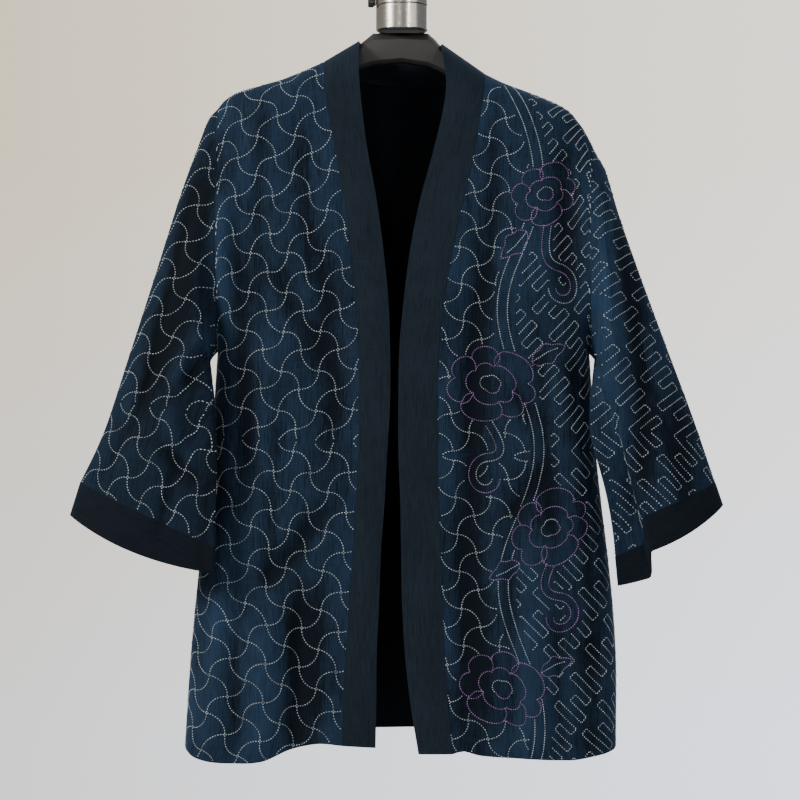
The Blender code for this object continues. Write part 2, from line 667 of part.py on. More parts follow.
grids = {
    "front_left": (front_panel("left"), False),
    "front_right": (front_panel("right"), False),
    "back": (back_panel(), False),
    "neckband": (neckband(), False),
    "sleeve_left": (sleeve("left"), True),
    "sleeve_right": (sleeve("right"), True),
    "cuff_left": (cuff("left"), True),
    "cuff_right": (cuff("right"), True),
}
# Each grid's normals point out of the garment.
OUTWARD = {"front_left": 1, "front_right": -1, "back": 1, "neckband": -1, "sleeve_left": 1, "sleeve_right": -1, "cuff_left": 1, "cuff_right": -1}
pieces = {}
for name, (grid, closed) in grids.items():
    pieces[name] = (grid, grid_normals(grid, closed) * OUTWARD[name], closed)
share_seam_normals(pieces)
for side, out in (("left", -1), ("right", 1)):
    for j in range(2 * ARM_STEPS):
        grids["sleeve_" + side][0][0, j, 0] += out * arm_gap(j)
for name, (grid, normals, closed) in pieces.items():
    banded = name in ("neckband", "cuff_left", "cuff_right")
    wall(
        name,
        stand_back(grid, closed),
        normals,
        closed,
        BAND_WALL if banded else WALL,
        looks["band_cloth" if banded else "indigo_cloth"],
    )

hanger(looks["black_plastic"])
inner = TUBE_R - TUBE_WALL
turned(
    "tube_upper",
    [(0, 0), (TUBE_R - 0.001, 0), (TUBE_R, -0.001), (TUBE_R, TUBE_JOINT_Z), (inner, TUBE_JOINT_Z), (inner, -0.003), (0, -0.003)],
    32,
    looks["steel"],
)
turned(
    "tube_lower",
    [(TUBE_R - 0.0003, TUBE_JOINT_Z - 0.0003), (TUBE_R - 0.0003, TUBE_END_Z), (inner, TUBE_END_Z), (inner, TUBE_JOINT_Z - 0.0003)],
    32,
    looks["steel"],
)
turned(
    "tube_core",
    [(0, -0.0033), (inner - 0.0004, -0.0033), (inner - 0.0004, CORE_END_Z), (0, CORE_END_Z)],
    32,
    looks["black_plastic"],
)
knob = turned(
    "clamp_knob",
    [(0, 0), (KNOB["r"] * 0.7, 0), (KNOB["r"] * 0.7, 0.002), (KNOB["r"], 0.003), (KNOB["r"], KNOB["length"] - 0.001), (KNOB["r"] - 0.001, KNOB["length"]), (0, KNOB["length"])],
    16,
    looks["black_plastic"],
    (-TUBE_R - 0.0002, 0, KNOB["z"]),
)
knob.rotation_euler = (0, -math.pi / 2, 0)
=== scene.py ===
"""A kimono cardigan of indigo slub cloth, sewn all over with running stitch, on
its hanger under a short steel tube. Metres; +X is the right of the picture, +Y
points away from the camera and the origin is the centre of the tube's top face.
"""

import json
import math

import bpy
import numpy as np
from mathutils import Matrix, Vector
from mathutils.bvhtree import BVHTree

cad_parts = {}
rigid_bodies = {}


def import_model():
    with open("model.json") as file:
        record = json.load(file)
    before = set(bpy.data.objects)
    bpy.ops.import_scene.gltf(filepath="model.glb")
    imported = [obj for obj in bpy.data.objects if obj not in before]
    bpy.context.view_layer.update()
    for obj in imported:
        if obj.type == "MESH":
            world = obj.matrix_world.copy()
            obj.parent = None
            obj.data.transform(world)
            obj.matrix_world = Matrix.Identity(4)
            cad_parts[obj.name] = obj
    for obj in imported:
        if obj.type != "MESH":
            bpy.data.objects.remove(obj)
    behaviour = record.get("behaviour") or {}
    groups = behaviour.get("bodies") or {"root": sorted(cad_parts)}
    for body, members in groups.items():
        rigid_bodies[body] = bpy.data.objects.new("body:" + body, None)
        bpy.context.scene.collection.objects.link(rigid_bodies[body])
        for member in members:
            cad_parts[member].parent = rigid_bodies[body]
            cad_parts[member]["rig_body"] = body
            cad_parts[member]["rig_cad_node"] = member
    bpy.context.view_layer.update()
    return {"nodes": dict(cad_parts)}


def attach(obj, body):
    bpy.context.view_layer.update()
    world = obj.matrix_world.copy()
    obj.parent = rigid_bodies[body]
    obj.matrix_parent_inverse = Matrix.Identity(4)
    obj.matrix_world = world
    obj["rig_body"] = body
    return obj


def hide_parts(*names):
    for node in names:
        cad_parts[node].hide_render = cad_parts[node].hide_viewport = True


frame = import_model()
bpy.ops.object.select_all(action="DESELECT")

# ------------------------------------------------------------------ the fronts
# Two long straight panels of hand-woven indigo slub cloth, cut with the slope
# of the shoulder. They roll over the hanger's arms and fall in soft folds.
ARM, SIDE_ROWS, ACROSS = 72, 84, 36  # steps down an armhole, down a side seam and from the band to the side
FRONT_DEPTH, SIDE_DEPTH, BACK_DEPTH = 0.045, 0.040, 0.040
RIDGE_ROUND, SIDE_ROUND = 0.045, 0.032

# The two front edges: height, the left band's outer and inner edge, the right band's inner and outer edge.
BAND = [
    (-0.099, -0.0855, -0.0480, 0.0480, 0.0905),
    (-0.143, -0.0820, -0.0450, 0.0470, 0.0870),
    (-0.198, -0.0730, -0.0380, 0.0350, 0.0790),
    (-0.253, -0.0630, -0.0280, 0.0200, 0.0670),
    (-0.308, -0.0560, -0.0205, 0.0090, 0.0550),
    (-0.363, -0.0500, -0.0150, 0.0020, 0.0460),
    (-0.418, -0.0470, -0.0130, -0.0030, 0.0400),
    (-0.473, -0.0460, -0.0130, -0.0040, 0.0385),
    (-0.528, -0.0475, -0.0160, -0.0040, 0.0385),
    (-0.583, -0.0500, -0.0190, -0.0020, 0.0400),
    (-0.638, -0.0530, -0.0230, -0.0010, 0.0420),
    (-0.693, -0.0570, -0.0250, 0.0000, 0.0435),
    (-0.748, -0.0610, -0.0275, 0.0030, 0.0460),
    (-0.803, -0.0640, -0.0280, 0.0090, 0.0500),
    (-0.859, -0.0650, -0.0290, 0.0180, 0.0550),
]
BAND_COLUMN = {("left", False): 1, ("left", True): 2, ("right", True): 3, ("right", False): 4}  # True is the free edge
# The shoulder ridges from the neckband's seam to the armhole: x, z.
RIDGE = {
    "left": [(-0.0850, -0.0990), (-0.1300, -0.1180), (-0.1820, -0.1330), (-0.1960, -0.1420), (-0.2035, -0.1510)],
    "right": [(0.0900, -0.1120), (0.1130, -0.1230), (0.1460, -0.1355), (0.1820, -0.1520), (0.1980, -0.1700), (0.2068, -0.1850)],
}
BAND_TOP = {"left": (-0.0470, -0.0765), "right": (0.0435, -0.0795)}
ARMPIT_Z = {"left": -0.418, "right": -0.420}
# The side seams below the armpit: z, x.
SIDE = {
    "left": [(-0.418, -0.2035), (-0.540, -0.2120), (-0.662, -0.2245), (-0.750, -0.2330), (-0.856, -0.2400)],
    "right": [(-0.420, 0.2068), (-0.540, 0.2150), (-0.679, 0.2310), (-0.760, 0.2365), (-0.856, 0.2365)],
}
# The hems: x, z.
HEM = {
    "left": [(-0.2400, -0.8560), (-0.2280, -0.8640), (-0.1950, -0.8690), (-0.1540, -0.8670), (-0.1240, -0.8550), (-0.0900, -0.8480), (-0.0650, -0.8500), (-0.0290, -0.8520)],
    "right": [(0.0180, -0.8590), (0.0550, -0.8590), (0.0660, -0.8560), (0.0860, -0.8610), (0.1410, -0.8640), (0.1850, -0.8660), (0.2180, -0.8610), (0.2365, -0.8560)],
}
# The folds, on the fronts and the sleeves' fronts: x and z of the start, the middle and the end, half width, height (below zero, a trough).
# How many times as deep as their tables say the folds are made.
FOLD_GAIN = 1.35
FRONT_FOLDS = [
    (-0.211, -0.198, -0.239, -0.341, -0.274, -0.506, 0.017, -0.0060),
    (-0.206, -0.396, -0.233, -0.431, -0.254, -0.462, 0.011, 0.0060),
    (-0.257, -0.478, -0.242, -0.517, -0.222, -0.550, 0.011, 0.0060),
    (-0.262, -0.520, -0.236, -0.545, -0.216, -0.566, 0.011, -0.0050),
    (-0.222, -0.413, -0.226, -0.440, -0.230, -0.462, 0.010, -0.0040),
    (-0.198, -0.240, -0.196, -0.330, -0.194, -0.400, 0.012, 0.0040),
    (-0.178, -0.264, -0.172, -0.418, -0.167, -0.583, 0.013, -0.0055),
    (-0.088, -0.286, -0.076, -0.407, -0.070, -0.528, 0.014, -0.0045),
    (-0.145, -0.319, -0.110, -0.385, -0.078, -0.446, 0.012, -0.0030),
    (-0.074, -0.578, -0.112, -0.632, -0.162, -0.688, 0.013, -0.0040),
    (-0.110, -0.682, -0.112, -0.759, -0.116, -0.870, 0.014, -0.0080),
    (-0.147, -0.693, -0.154, -0.781, -0.158, -0.880, 0.020, 0.0060),
    (-0.200, -0.693, -0.204, -0.781, -0.206, -0.880, 0.018, 0.0040),
    (0.091, -0.253, 0.077, -0.528, 0.086, -0.870, 0.014, -0.0055),
    (0.118, -0.457, 0.135, -0.479, 0.157, -0.501, 0.012, -0.0030),
    (0.163, -0.544, 0.138, -0.574, 0.112, -0.605, 0.012, -0.0030),
    (0.176, -0.187, 0.178, -0.275, 0.180, -0.374, 0.013, -0.0055),
    (0.184, -0.418, 0.190, -0.462, 0.190, -0.506, 0.011, -0.0035),
    (0.212, -0.226, 0.224, -0.396, 0.240, -0.590, 0.014, 0.0050),
    (0.242, -0.242, 0.256, -0.407, 0.266, -0.583, 0.013, -0.0045),
    (0.296, -0.470, 0.306, -0.530, 0.312, -0.600, 0.010, -0.0035),
    (0.139, -0.700, 0.141, -0.790, 0.143, -0.880, 0.020, 0.0050),
    (0.204, -0.720, 0.206, -0.790, 0.208, -0.880, 0.014, -0.0045),
    (-0.150, -0.150, -0.158, -0.300, -0.150, -0.420, 0.008, -0.0028),
    (-0.112, -0.170, -0.104, -0.250, -0.098, -0.340, 0.008, -0.0024),
    (-0.195, -0.440, -0.212, -0.620, -0.220, -0.800, 0.009, -0.0032),
    (-0.132, -0.480, -0.142, -0.600, -0.148, -0.700, 0.008, -0.0028),
    (-0.086, -0.640, -0.092, -0.750, -0.096, -0.870, 0.008, -0.0028),
    (-0.178, -0.700, -0.182, -0.790, -0.182, -0.875, 0.007, -0.0030),
    (0.106, -0.150, 0.100, -0.260, 0.094, -0.380, 0.008, -0.0026),
    (0.150, -0.400, 0.160, -0.520, 0.166, -0.640, 0.009, -0.0030),
    (0.062, -0.560, 0.066, -0.700, 0.070, -0.870, 0.008, -0.0026),
    (0.118, -0.620, 0.122, -0.740, 0.120, -0.870, 0.008, -0.0028),
    (0.166, -0.690, 0.172, -0.790, 0.175, -0.875, 0.008, -0.0030),
    (0.196, -0.560, 0.206, -0.680, 0.216, -0.800, 0.008, -0.0026),
    (-0.226, -0.240, -0.254, -0.360, -0.290, -0.510, 0.007, -0.0028),
    (-0.246, -0.400, -0.286, -0.480, -0.334, -0.575, 0.007, -0.0026),
    (-0.228, -0.500, -0.248, -0.560, -0.264, -0.630, 0.007, -0.0028),
    (0.228, -0.260, 0.246, -0.380, 0.270, -0.520, 0.007, -0.0028),
    (0.250, -0.400, 0.282, -0.490, 0.304, -0.580, 0.007, -0.0026),
    (0.226, -0.520, 0.242, -0.570, 0.250, -0.620, 0.007, -0.0026),
]


def curve(rows, at, column=1):
    """A smooth curve through a table's rows, read at values of its first column."""
    xs, ys = np.array(sorted((row[0], row[column]) for row in rows)).T
    low, high = np.maximum(np.arange(len(xs)) - 1, 0), np.minimum(np.arange(len(xs)) + 1, len(xs) - 1)
    slope = (ys[high] - ys[low]) / (xs[high] - xs[low])
    at = np.clip(at, xs[0], xs[-1])
    i = np.clip(np.searchsorted(xs, at) - 1, 0, len(xs) - 2)
    h = xs[i + 1] - xs[i]
    t = (at - xs[i]) / h
    return (2 * t**3 - 3 * t**2 + 1) * ys[i] + (t**3 - 2 * t**2 + t) * h * slope[i] + (3 * t**2 - 2 * t**3) * ys[i + 1] + (t**3 - t**2) * h * slope[i + 1]


def soft_step(t):
    t = np.clip(t, 0.0, 1.0)
    return t * t * (3 - 2 * t)


def round_over(reach):
    """The quarter round of cloth over an edge: 0 at the edge, 1 a radius away."""
    return np.sqrt(1.0 - (1.0 - np.clip(reach, 0.0, 1.0)) ** 2)


def fold_height(folds, x, z):
    """How far the folds push the cloth out at each point, a third more than the tables say."""
    total = np.zeros(np.shape(x))
    for x1, z1, x2, z2, x3, z3, width, depth in folds:
        near, part = np.full(np.shape(x), 1e9), np.zeros(np.shape(x))
        for ax, az, bx, bz, start in ((x1, z1, x2, z2, 0.0), (x2, z2, x3, z3, 0.5)):
            dx, dz = bx - ax, bz - az
            t = np.clip(((x - ax) * dx + (z - az) * dz) / (dx * dx + dz * dz), 0.0, 1.0)
            away = np.hypot(x - ax - t * dx, z - az - t * dz)
            part = np.where(away < near, start + t / 2, part)
            near = np.minimum(away, near)
        fade = soft_step(part / 0.22) * soft_step((1.0 - part) / 0.22)
        total += depth * np.exp(-((near / width) ** 2)) * (0.25 + 0.75 * fade)
    return total * FOLD_GAIN


def arm_half(side):
    return (RIDGE[side][-1][1] + ARMPIT_Z[side]) / 2, (RIDGE[side][-1][1] - ARMPIT_Z[side]) / 2


def side_heights(side):
    """The heights of a panel's rows, down the armhole and then the side seam."""
    centre, half = arm_half(side)
    down = centre + half * np.cos(np.pi * np.arange(ARM + 1) / ARM)
    below = ARMPIT_Z[side] + (SIDE[side][-1][0] - ARMPIT_Z[side]) * np.arange(1, SIDE_ROWS + 1) / SIDE_ROWS
    return np.concatenate([down, below])


def side_x(side, z):
    return np.where(z >= ARMPIT_Z[side], RIDGE[side][-1][0], curve(SIDE[side], z))


def depth_share(side, x, z, top_z, share):
    """How much of the full depth the body has, rolled in at the shoulder and the side."""
    centre, half = arm_half(side)
    down = round_over((top_z - z) / (RIDGE_ROUND + (half - RIDGE_ROUND) * soft_step((share - 0.45) / 0.55)))
    sign = -1.0 if side == "left" else 1.0
    edge = np.where(z > ARMPIT_Z[side], RIDGE[side][-1][0], curve(SIDE[side], z))
    inward = np.clip((edge - x) * sign / SIDE_ROUND, 0.0, 1.0)
    keep = np.where(z >= centre, 1.0, np.sqrt(np.clip(1.0 - ((z - centre) / half) ** 2, 0.0, 1.0)))
    keep = np.where(z > ARMPIT_Z[side], keep, 0.0)
    return down * np.sqrt(1.0 - (1.0 - keep**2) * (1.0 - inward) ** 2)


def across(count):
    """Shares of the way from the neckband's seam to the side, closer together at the side."""
    t = np.arange(count + 1) / count
    return 0.55 * t + 0.45 * np.sin(np.pi / 2 * t)


def ridge_points(side, shares):
    x = RIDGE[side][0][0] + (RIDGE[side][-1][0] - RIDGE[side][0][0]) * shares
    return np.stack([x, curve(RIDGE[side], x)], -1)


def coons(top, bottom, left, right, u, v):
    """The patch between four edges, each a row of points."""
    corners = (1 - u) * (1 - v) * top[0] + u * (1 - v) * top[-1] + (1 - u) * v * bottom[0] + u * v * bottom[-1]
    return (1 - v) * top[:, None] + v * bottom[:, None] + (1 - u) * left[None] + u * right[None] - corners


def band_edge(side, free):
    """One edge of the band on the front, from the shoulder to the hem."""
    top_x, top_z = BAND_TOP[side] if free else RIDGE[side][0]
    rows, column = side_heights(side), BAND_COLUMN[side, free]
    bottom = curve(HEM[side], curve(BAND, -0.859, column))
    z = top_z + (rows - rows[0]) * (bottom - top_z) / (rows[-1] - rows[0])
    x = top_x + (curve(BAND, z, column) - top_x) * soft_step((top_z - z) / 0.05)
    y = -(FRONT_DEPTH + fold_height(FRONT_FOLDS, x, z)) * round_over((top_z - z) / RIDGE_ROUND)
    return np.stack([x, y, z], -1)


def front_grid(side):
    rows, shares, seam = side_heights(side), across(ACROSS), band_edge(side, False)
    u, v = shares[:, None, None], ((rows - rows[0]) / (rows[-1] - rows[0]))[None, :, None]
    outer = np.stack([side_x(side, rows), rows], -1)
    hem_x = seam[-1, 0] + (outer[-1, 0] - seam[-1, 0]) * shares
    ridge = ridge_points(side, shares)
    flat = coons(ridge, np.stack([hem_x, curve(HEM[side], hem_x)], -1), seam[:, [0, 2]], outer, u, v)
    x, z, u = flat[..., 0], flat[..., 1], shares[:, None]
    down = depth_share(side, x, z, ridge[:, None, 1], u)
    down[-1, : ARM + 1] = np.sin(np.pi * np.arange(ARM + 1) / ARM)
    depth = FRONT_DEPTH + (SIDE_DEPTH - FRONT_DEPTH) * soft_step((u - 0.5) / 0.5) + fold_height(FRONT_FOLDS, x, z)
    grid = np.stack([x, -depth * down, z], -1)
    grid[:, 0, 1] = 0.0
    grid[0] = seam
    return grid


grids = {"front_left": front_grid("left"), "front_right": front_grid("right")}

# -------------------------------------------------------------------- the back
# One wide panel of the same cloth from the shoulders and the back of the neck
# to the hem, a little shorter than the fronts. It hangs free behind the hanger.
NECK = 40  # steps round the back of the neck
NECK_DEPTH, BACK_HEM_RISE = 0.046, 0.0150
BACK_FOLDS = [
    (-0.120, -0.190, -0.145, -0.480, -0.160, -0.870, 0.018, -0.0060),
    (-0.050, -0.420, -0.062, -0.640, -0.070, -0.870, 0.017, -0.0060),
    (0.030, -0.330, 0.024, -0.600, 0.012, -0.870, 0.020, 0.0060),
    (0.112, -0.220, 0.104, -0.520, 0.118, -0.870, 0.017, -0.0060),
    (0.172, -0.330, 0.176, -0.600, 0.186, -0.870, 0.018, 0.0050),
    (-0.196, -0.240, -0.188, -0.420, -0.176, -0.560, 0.014, 0.0045),
    (-0.250, -0.260, -0.278, -0.400, -0.300, -0.540, 0.015, -0.0050),
    (0.256, -0.290, 0.278, -0.430, 0.300, -0.570, 0.015, -0.0050),
]


def neck_line(low, high, drop, depth):
    """A half round behind the neck between two points (x, z) of the shoulders."""
    share = np.arange(NECK + 1) / NECK
    angle = np.pi * share
    x = (low[0] + high[0]) / 2 - (high[0] - low[0]) / 2 * np.cos(angle)
    return np.stack([x, depth * np.sin(angle), low[1] + (high[1] - low[1]) * share - drop * np.sin(angle)], -1)


def back_grid():
    left, right = side_heights("left"), side_heights("right")
    neck = neck_line(RIDGE["left"][0], RIDGE["right"][0], 0.0145, NECK_DEPTH)
    tops = np.concatenate([ridge_points("left", across(ACROSS)[:0:-1]), neck[:, [0, 2]], ridge_points("right", across(ACROSS)[1:])])
    neck_y = np.concatenate([np.zeros(ACROSS), neck[:, 1], np.zeros(ACROSS)])
    shares = (tops[:, 0] - tops[0, 0]) / (tops[-1, 0] - tops[0, 0])
    u, v = shares[:, None, None], ((left - left[0]) / (left[-1] - left[0]))[None, :, None]
    left_edge, right_edge = np.stack([side_x("left", left), left], -1), np.stack([side_x("right", right), right], -1)
    hem = left_edge[-1] + (right_edge[-1] - left_edge[-1]) * shares[:, None]
    hem[:, 1] += BACK_HEM_RISE * np.sin(np.pi * np.clip(shares, 0, 1)) ** 0.5
    flat = coons(tops, hem, left_edge, right_edge, u, v)
    x, z, u = flat[..., 0], flat[..., 1], shares[:, None]
    over = soft_step((np.abs(u - 0.5) * 2 - 0.3) / 0.7)
    down = np.where(u < 0.5, depth_share("left", x, z, tops[:, None, 1], over), depth_share("right", x, z, tops[:, None, 1], over))
    down[[0, -1], : ARM + 1] = np.sin(np.pi * np.arange(ARM + 1) / ARM)
    near = neck_y[:, None] / NECK_DEPTH * (1 - soft_step((tops[:, None, 1] - z) / 0.12))
    body = (BACK_DEPTH + fold_height(BACK_FOLDS, x, z)) * down
    grid = np.stack([x, np.sqrt(body**2 * (1 - near**2) + (NECK_DEPTH * near) ** 2), z], -1)
    grid[:, 0, 1] = neck_y
    return grid


grids["back"] = back_grid()

# ---------------------------------------------------------------- the neckband
# One long plain strip of double cloth, sewn to the left front, round the back
# of the neck and down the right front. Its free edge is a fold.
BAND_ROWS = 10
BAND_PUFF = 0.0010  # how far its middle stands out


def neckband_grid():
    neck = {free: neck_line(ends["left"], ends["right"], drop, depth)[1:-1] for free, ends, drop, depth in ((False, {side: RIDGE[side][0] for side in RIDGE}, 0.0145, NECK_DEPTH), (True, BAND_TOP, 0.0, NECK_DEPTH - 0.001))}
    seam, edge = (np.concatenate([band_edge("left", free)[::-1], neck[free], band_edge("right", free)]) for free in (False, True))
    w = (np.arange(BAND_ROWS + 1) / BAND_ROWS)[None, :, None]
    grid = seam[:, None] + (edge - seam)[:, None] * w
    grid[..., 1:2] += BAND_PUFF * np.sin(np.pi * w) * np.clip(grid[..., 1:2] / FRONT_DEPTH, -1, 1)
    return grid


grids["neckband"] = neckband_grid()

# ----------------------------------------------------------------- the sleeves
# Two wide straight sleeves on dropped armhole seams. Each is one piece folded
# at its outer edge; hanging, the fold stands out and the underarm swings in.
RINGS = 84
# Share of the way to the cuff, the outer edge's x, y, z, the inner edge's x, y, z, half the depth, and the share of it left at the inner edge.
SLEEVE = {
    "left": [
        (0.00, -0.2035, 0.000, -0.1510, -0.2035, 0.000, -0.4180, 0.0400, 1.00),
        (0.08, -0.2140, 0.000, -0.1640, -0.2110, -0.016, -0.4290, 0.0385, 0.80),
        (0.18, -0.2280, 0.000, -0.2000, -0.2105, -0.036, -0.4440, 0.0365, 0.55),
        (0.30, -0.2450, -0.003, -0.2480, -0.2050, -0.053, -0.4640, 0.0345, 0.42),
        (0.45, -0.2700, -0.008, -0.3290, -0.2025, -0.063, -0.4960, 0.0330, 0.38),
        (0.62, -0.2980, -0.014, -0.4180, -0.2005, -0.065, -0.5380, 0.0315, 0.38),
        (0.80, -0.3270, -0.020, -0.5080, -0.2020, -0.066, -0.5850, 0.0295, 0.40),
        (1.00, -0.3520, -0.026, -0.5630, -0.2025, -0.067, -0.6320, 0.0270, 0.44),
    ],
    "right": [
        (0.00, 0.2068, 0.000, -0.1850, 0.2068, 0.000, -0.4200, 0.0400, 1.00),
        (0.08, 0.2145, 0.000, -0.2010, 0.2140, -0.016, -0.4310, 0.0385, 0.80),
        (0.18, 0.2250, 0.000, -0.2200, 0.2120, -0.036, -0.4460, 0.0365, 0.55),
        (0.30, 0.2400, -0.003, -0.2700, 0.2055, -0.053, -0.4670, 0.0345, 0.42),
        (0.45, 0.2640, -0.008, -0.3400, 0.2035, -0.063, -0.5000, 0.0330, 0.38),
        (0.62, 0.2910, -0.014, -0.4150, 0.2055, -0.065, -0.5400, 0.0315, 0.38),
        (0.80, 0.3180, -0.020, -0.4890, 0.2095, -0.066, -0.5830, 0.0295, 0.40),
        (1.00, 0.3430, -0.026, -0.5640, 0.2200, -0.068, -0.6160, 0.0270, 0.44),
    ],
}
TUCK = {"drop": 0.028, "back": 0.010, "from": 0.66, "to": 0.76}  # the right sleeve's mouth folds over itself


def sleeve_rings(side, rows, sag=0.0):
    """Rings down a sleeve, each from the outer edge down the front, round the inner edge and up the back."""
    ux, uy, uz, lx, ly, lz, depth, keep = (column[:, None] for column in rows)
    outer, inner = np.stack([ux, uy, uz], -1), np.stack([lx, ly, lz], -1)
    reach, sign = (outer - inner) / 2, -1.0 if side == "left" else 1.0
    down = np.stack([-sign * reach[..., 2], 0 * reach[..., 0], sign * reach[..., 0]], -1) / np.hypot(reach[..., 0], reach[..., 2])[..., None]
    down = np.where(down[..., 2:] > 0, -down, down)
    angle = np.pi * np.arange(2 * ARM)[None] / ARM
    share, front = (1 - np.cos(angle)) / 2, np.sin(angle)
    thin = 1 + (keep - 1) * soft_step((share - 0.25) / 0.75)
    ring = (outer + inner) / 2 + reach * np.cos(angle)[..., None] + down * (sag * front**2)[..., None]
    ring[..., 1] -= depth * thin * front
    if side == "right":
        step = soft_step((share - TUCK["from"]) / (TUCK["to"] - TUCK["from"])) * soft_step((-0.50 - lz) / 0.10)
        ring += down * (TUCK["drop"] * step)[..., None]
        ring[..., 1] += TUCK["back"] * step * np.maximum(front, 0.0)
    lift = np.where(front > 0, -fold_height(FRONT_FOLDS, ring[..., 0], ring[..., 2]), fold_height(BACK_FOLDS, ring[..., 0], ring[..., 2]))
    ring[..., 1] += lift * np.abs(front) * np.minimum(1.0, thin * 1.3)
    return ring


for side in SLEEVE:
    shares = (np.arange(RINGS + 1) / RINGS) ** 1.15
    grids["sleeve_" + side] = sleeve_rings(side, [curve(SLEEVE[side], shares, column) for column in range(1, 9)])

# ------------------------------------------------------------------- the cuffs
# A plain double band round each sleeve's mouth, cut from the neckband's cloth.
# The right one folds over itself, with its inner part hanging lower behind.
CUFF_RINGS = 12
CUFF_SAG = 0.010
CUFF_END = {
    "left": (-0.3630, -0.028, -0.5990, -0.2025, -0.068, -0.6600, 0.0275, 0.46),
    "right": (0.3510, -0.028, -0.5880, 0.2220, -0.069, -0.6480, 0.0275, 0.46),
}
for side in CUFF_END:
    t = np.arange(CUFF_RINGS + 1) / CUFF_RINGS
    rows = [start + (end - start) * t for start, end in zip(SLEEVE[side][-1][1:], CUFF_END[side])]
    grids["cuff_" + side] = sleeve_rings(side, rows, CUFF_SAG * t[:, None])

# --------------------------------------------------------------- the dyed cloth
# Plain weave of uneven hand-spun thread, so that thick slubs run up the cloth
# and the indigo takes unevenly. The folds are painted on it too: darker in
# their troughs as painted shade and lighter on their ridges as painted light.


def wire(tree, kind, inputs=None, **settings):
    """Adds one node, with its settings and what feeds each input."""
    made = tree.nodes.new(kind)
    for name, value in settings.items():
        setattr(made, name, value)
    for name, value in (inputs or {}).items():
        if isinstance(value, bpy.types.NodeSocket):
            tree.links.new(value, made.inputs[name])
        else:
            made.inputs[name].default_value = value
    return made


def new_group(name, inputs, outputs):
    tree = bpy.data.node_groups.new(name, "ShaderNodeTree")
    for label, kind, value in inputs:
        socket = tree.interface.new_socket(label, in_out="INPUT", socket_type="NodeSocket" + kind)
        socket.default_value = value
    for label, kind in outputs:
        tree.interface.new_socket(label, in_out="OUTPUT", socket_type="NodeSocket" + kind)
    return tree, tree.nodes.new("NodeGroupInput"), tree.nodes.new("NodeGroupOutput")


def noise(tree, place, stretch, detail=3.0, roughness=0.55):
    """Noise stretched along one direction of the cloth: cells across and along, per metre."""
    moved = wire(tree, "ShaderNodeMapping", {"Vector": place, "Scale": (*stretch, 1.0)})
    return wire(tree, "ShaderNodeTexNoise", {"Vector": moved.outputs["Vector"], "Scale": 1.0, "Detail": detail, "Roughness": roughness}).outputs["Fac"]


def ramp(tree, value, low, high, to_low=0.0, to_high=1.0):
    return wire(tree, "ShaderNodeMapRange", {"Value": value, "From Min": low, "From Max": high, "To Min": to_low, "To Max": to_high}).outputs["Result"]


def maths(tree, operation, a, b):
    return wire(tree, "ShaderNodeMath", {0: a, 1: b}, operation=operation).outputs[0]


def mix(tree, share, a, b, blend="MIX"):
    return wire(tree, "ShaderNodeMix", {0: share, 6: a, 7: b}, data_type="RGBA", blend_type=blend).outputs[2]


weave, given, told = new_group(
    "slub weave",
    [("Deep", "Color", (0.004, 0.014, 0.032, 1)), ("Paler", "Color", (0.009, 0.040, 0.105, 1)), ("Slubs", "Float", 1.0), ("Unevenness_and_fold_shading", "Float", 1.0)],
    [("Colour", "Color"), ("Roughness", "Float"), ("Height", "Float")],
)
chart = wire(weave, "ShaderNodeUVMap", uv_map="cloth").outputs["UV"]
streaks = noise(weave, chart, (760, 52), 3.5, 0.62)
slubs = ramp(weave, noise(weave, chart, (300, 17), 2.0), 0.56, 0.70)
weft = noise(weave, chart, (46, 820), 2.5)
clouds = noise(weave, chart, (15, 8), 3.0, 0.6)
# Painted fold shading, per point: darker in fold troughs as painted shade, lighter on ridges as painted light.
painted_fold_shading = wire(weave, "ShaderNodeAttribute", attribute_name="painted_fold_shading").outputs["Fac"]
tone = maths(weave, "MULTIPLY_ADD", streaks, 1.5)
tone.node.inputs[2].default_value = -0.78
tone = maths(weave, "ADD", tone, ramp(weave, weft, 0.3, 0.7, -0.12, 0.12))
tone = maths(weave, "ADD", tone, maths(weave, "MULTIPLY", slubs, maths(weave, "MULTIPLY", given.outputs["Slubs"], -0.30)))
tone = maths(weave, "MULTIPLY", tone, given.outputs["Slubs"])
tone = maths(weave, "ADD", tone, maths(weave, "MULTIPLY", ramp(weave, clouds, 0.3, 0.7, -0.34, 0.30), given.outputs["Unevenness_and_fold_shading"]))
# Here the painted fold shade and light goes into the tone.
tone = maths(weave, "ADD", tone, maths(weave, "MULTIPLY", painted_fold_shading, given.outputs["Unevenness_and_fold_shading"]))
tone = ramp(weave, tone, -0.62, 0.62)
weave.links.new(mix(weave, tone, given.outputs["Deep"], given.outputs["Paler"]), told.inputs["Colour"])
weave.links.new(ramp(weave, streaks, 0.2, 0.8, 0.95, 0.78), told.inputs["Roughness"])
parts = wire(weave, "ShaderNodeSeparateXYZ", {0: chart})
warp = maths(weave, "SINE", maths(weave, "MULTIPLY", parts.outputs[0], 7400.0), 0.0)
fill = maths(weave, "SINE", maths(weave, "MULTIPLY", parts.outputs[1], 7400.0), 0.0)
threads = maths(weave, "MULTIPLY", maths(weave, "MULTIPLY", warp, fill), 0.20)
weave.links.new(maths(weave, "ADD", threads, maths(weave, "ADD", streaks, maths(weave, "MULTIPLY", slubs, 0.5))), told.inputs["Height"])


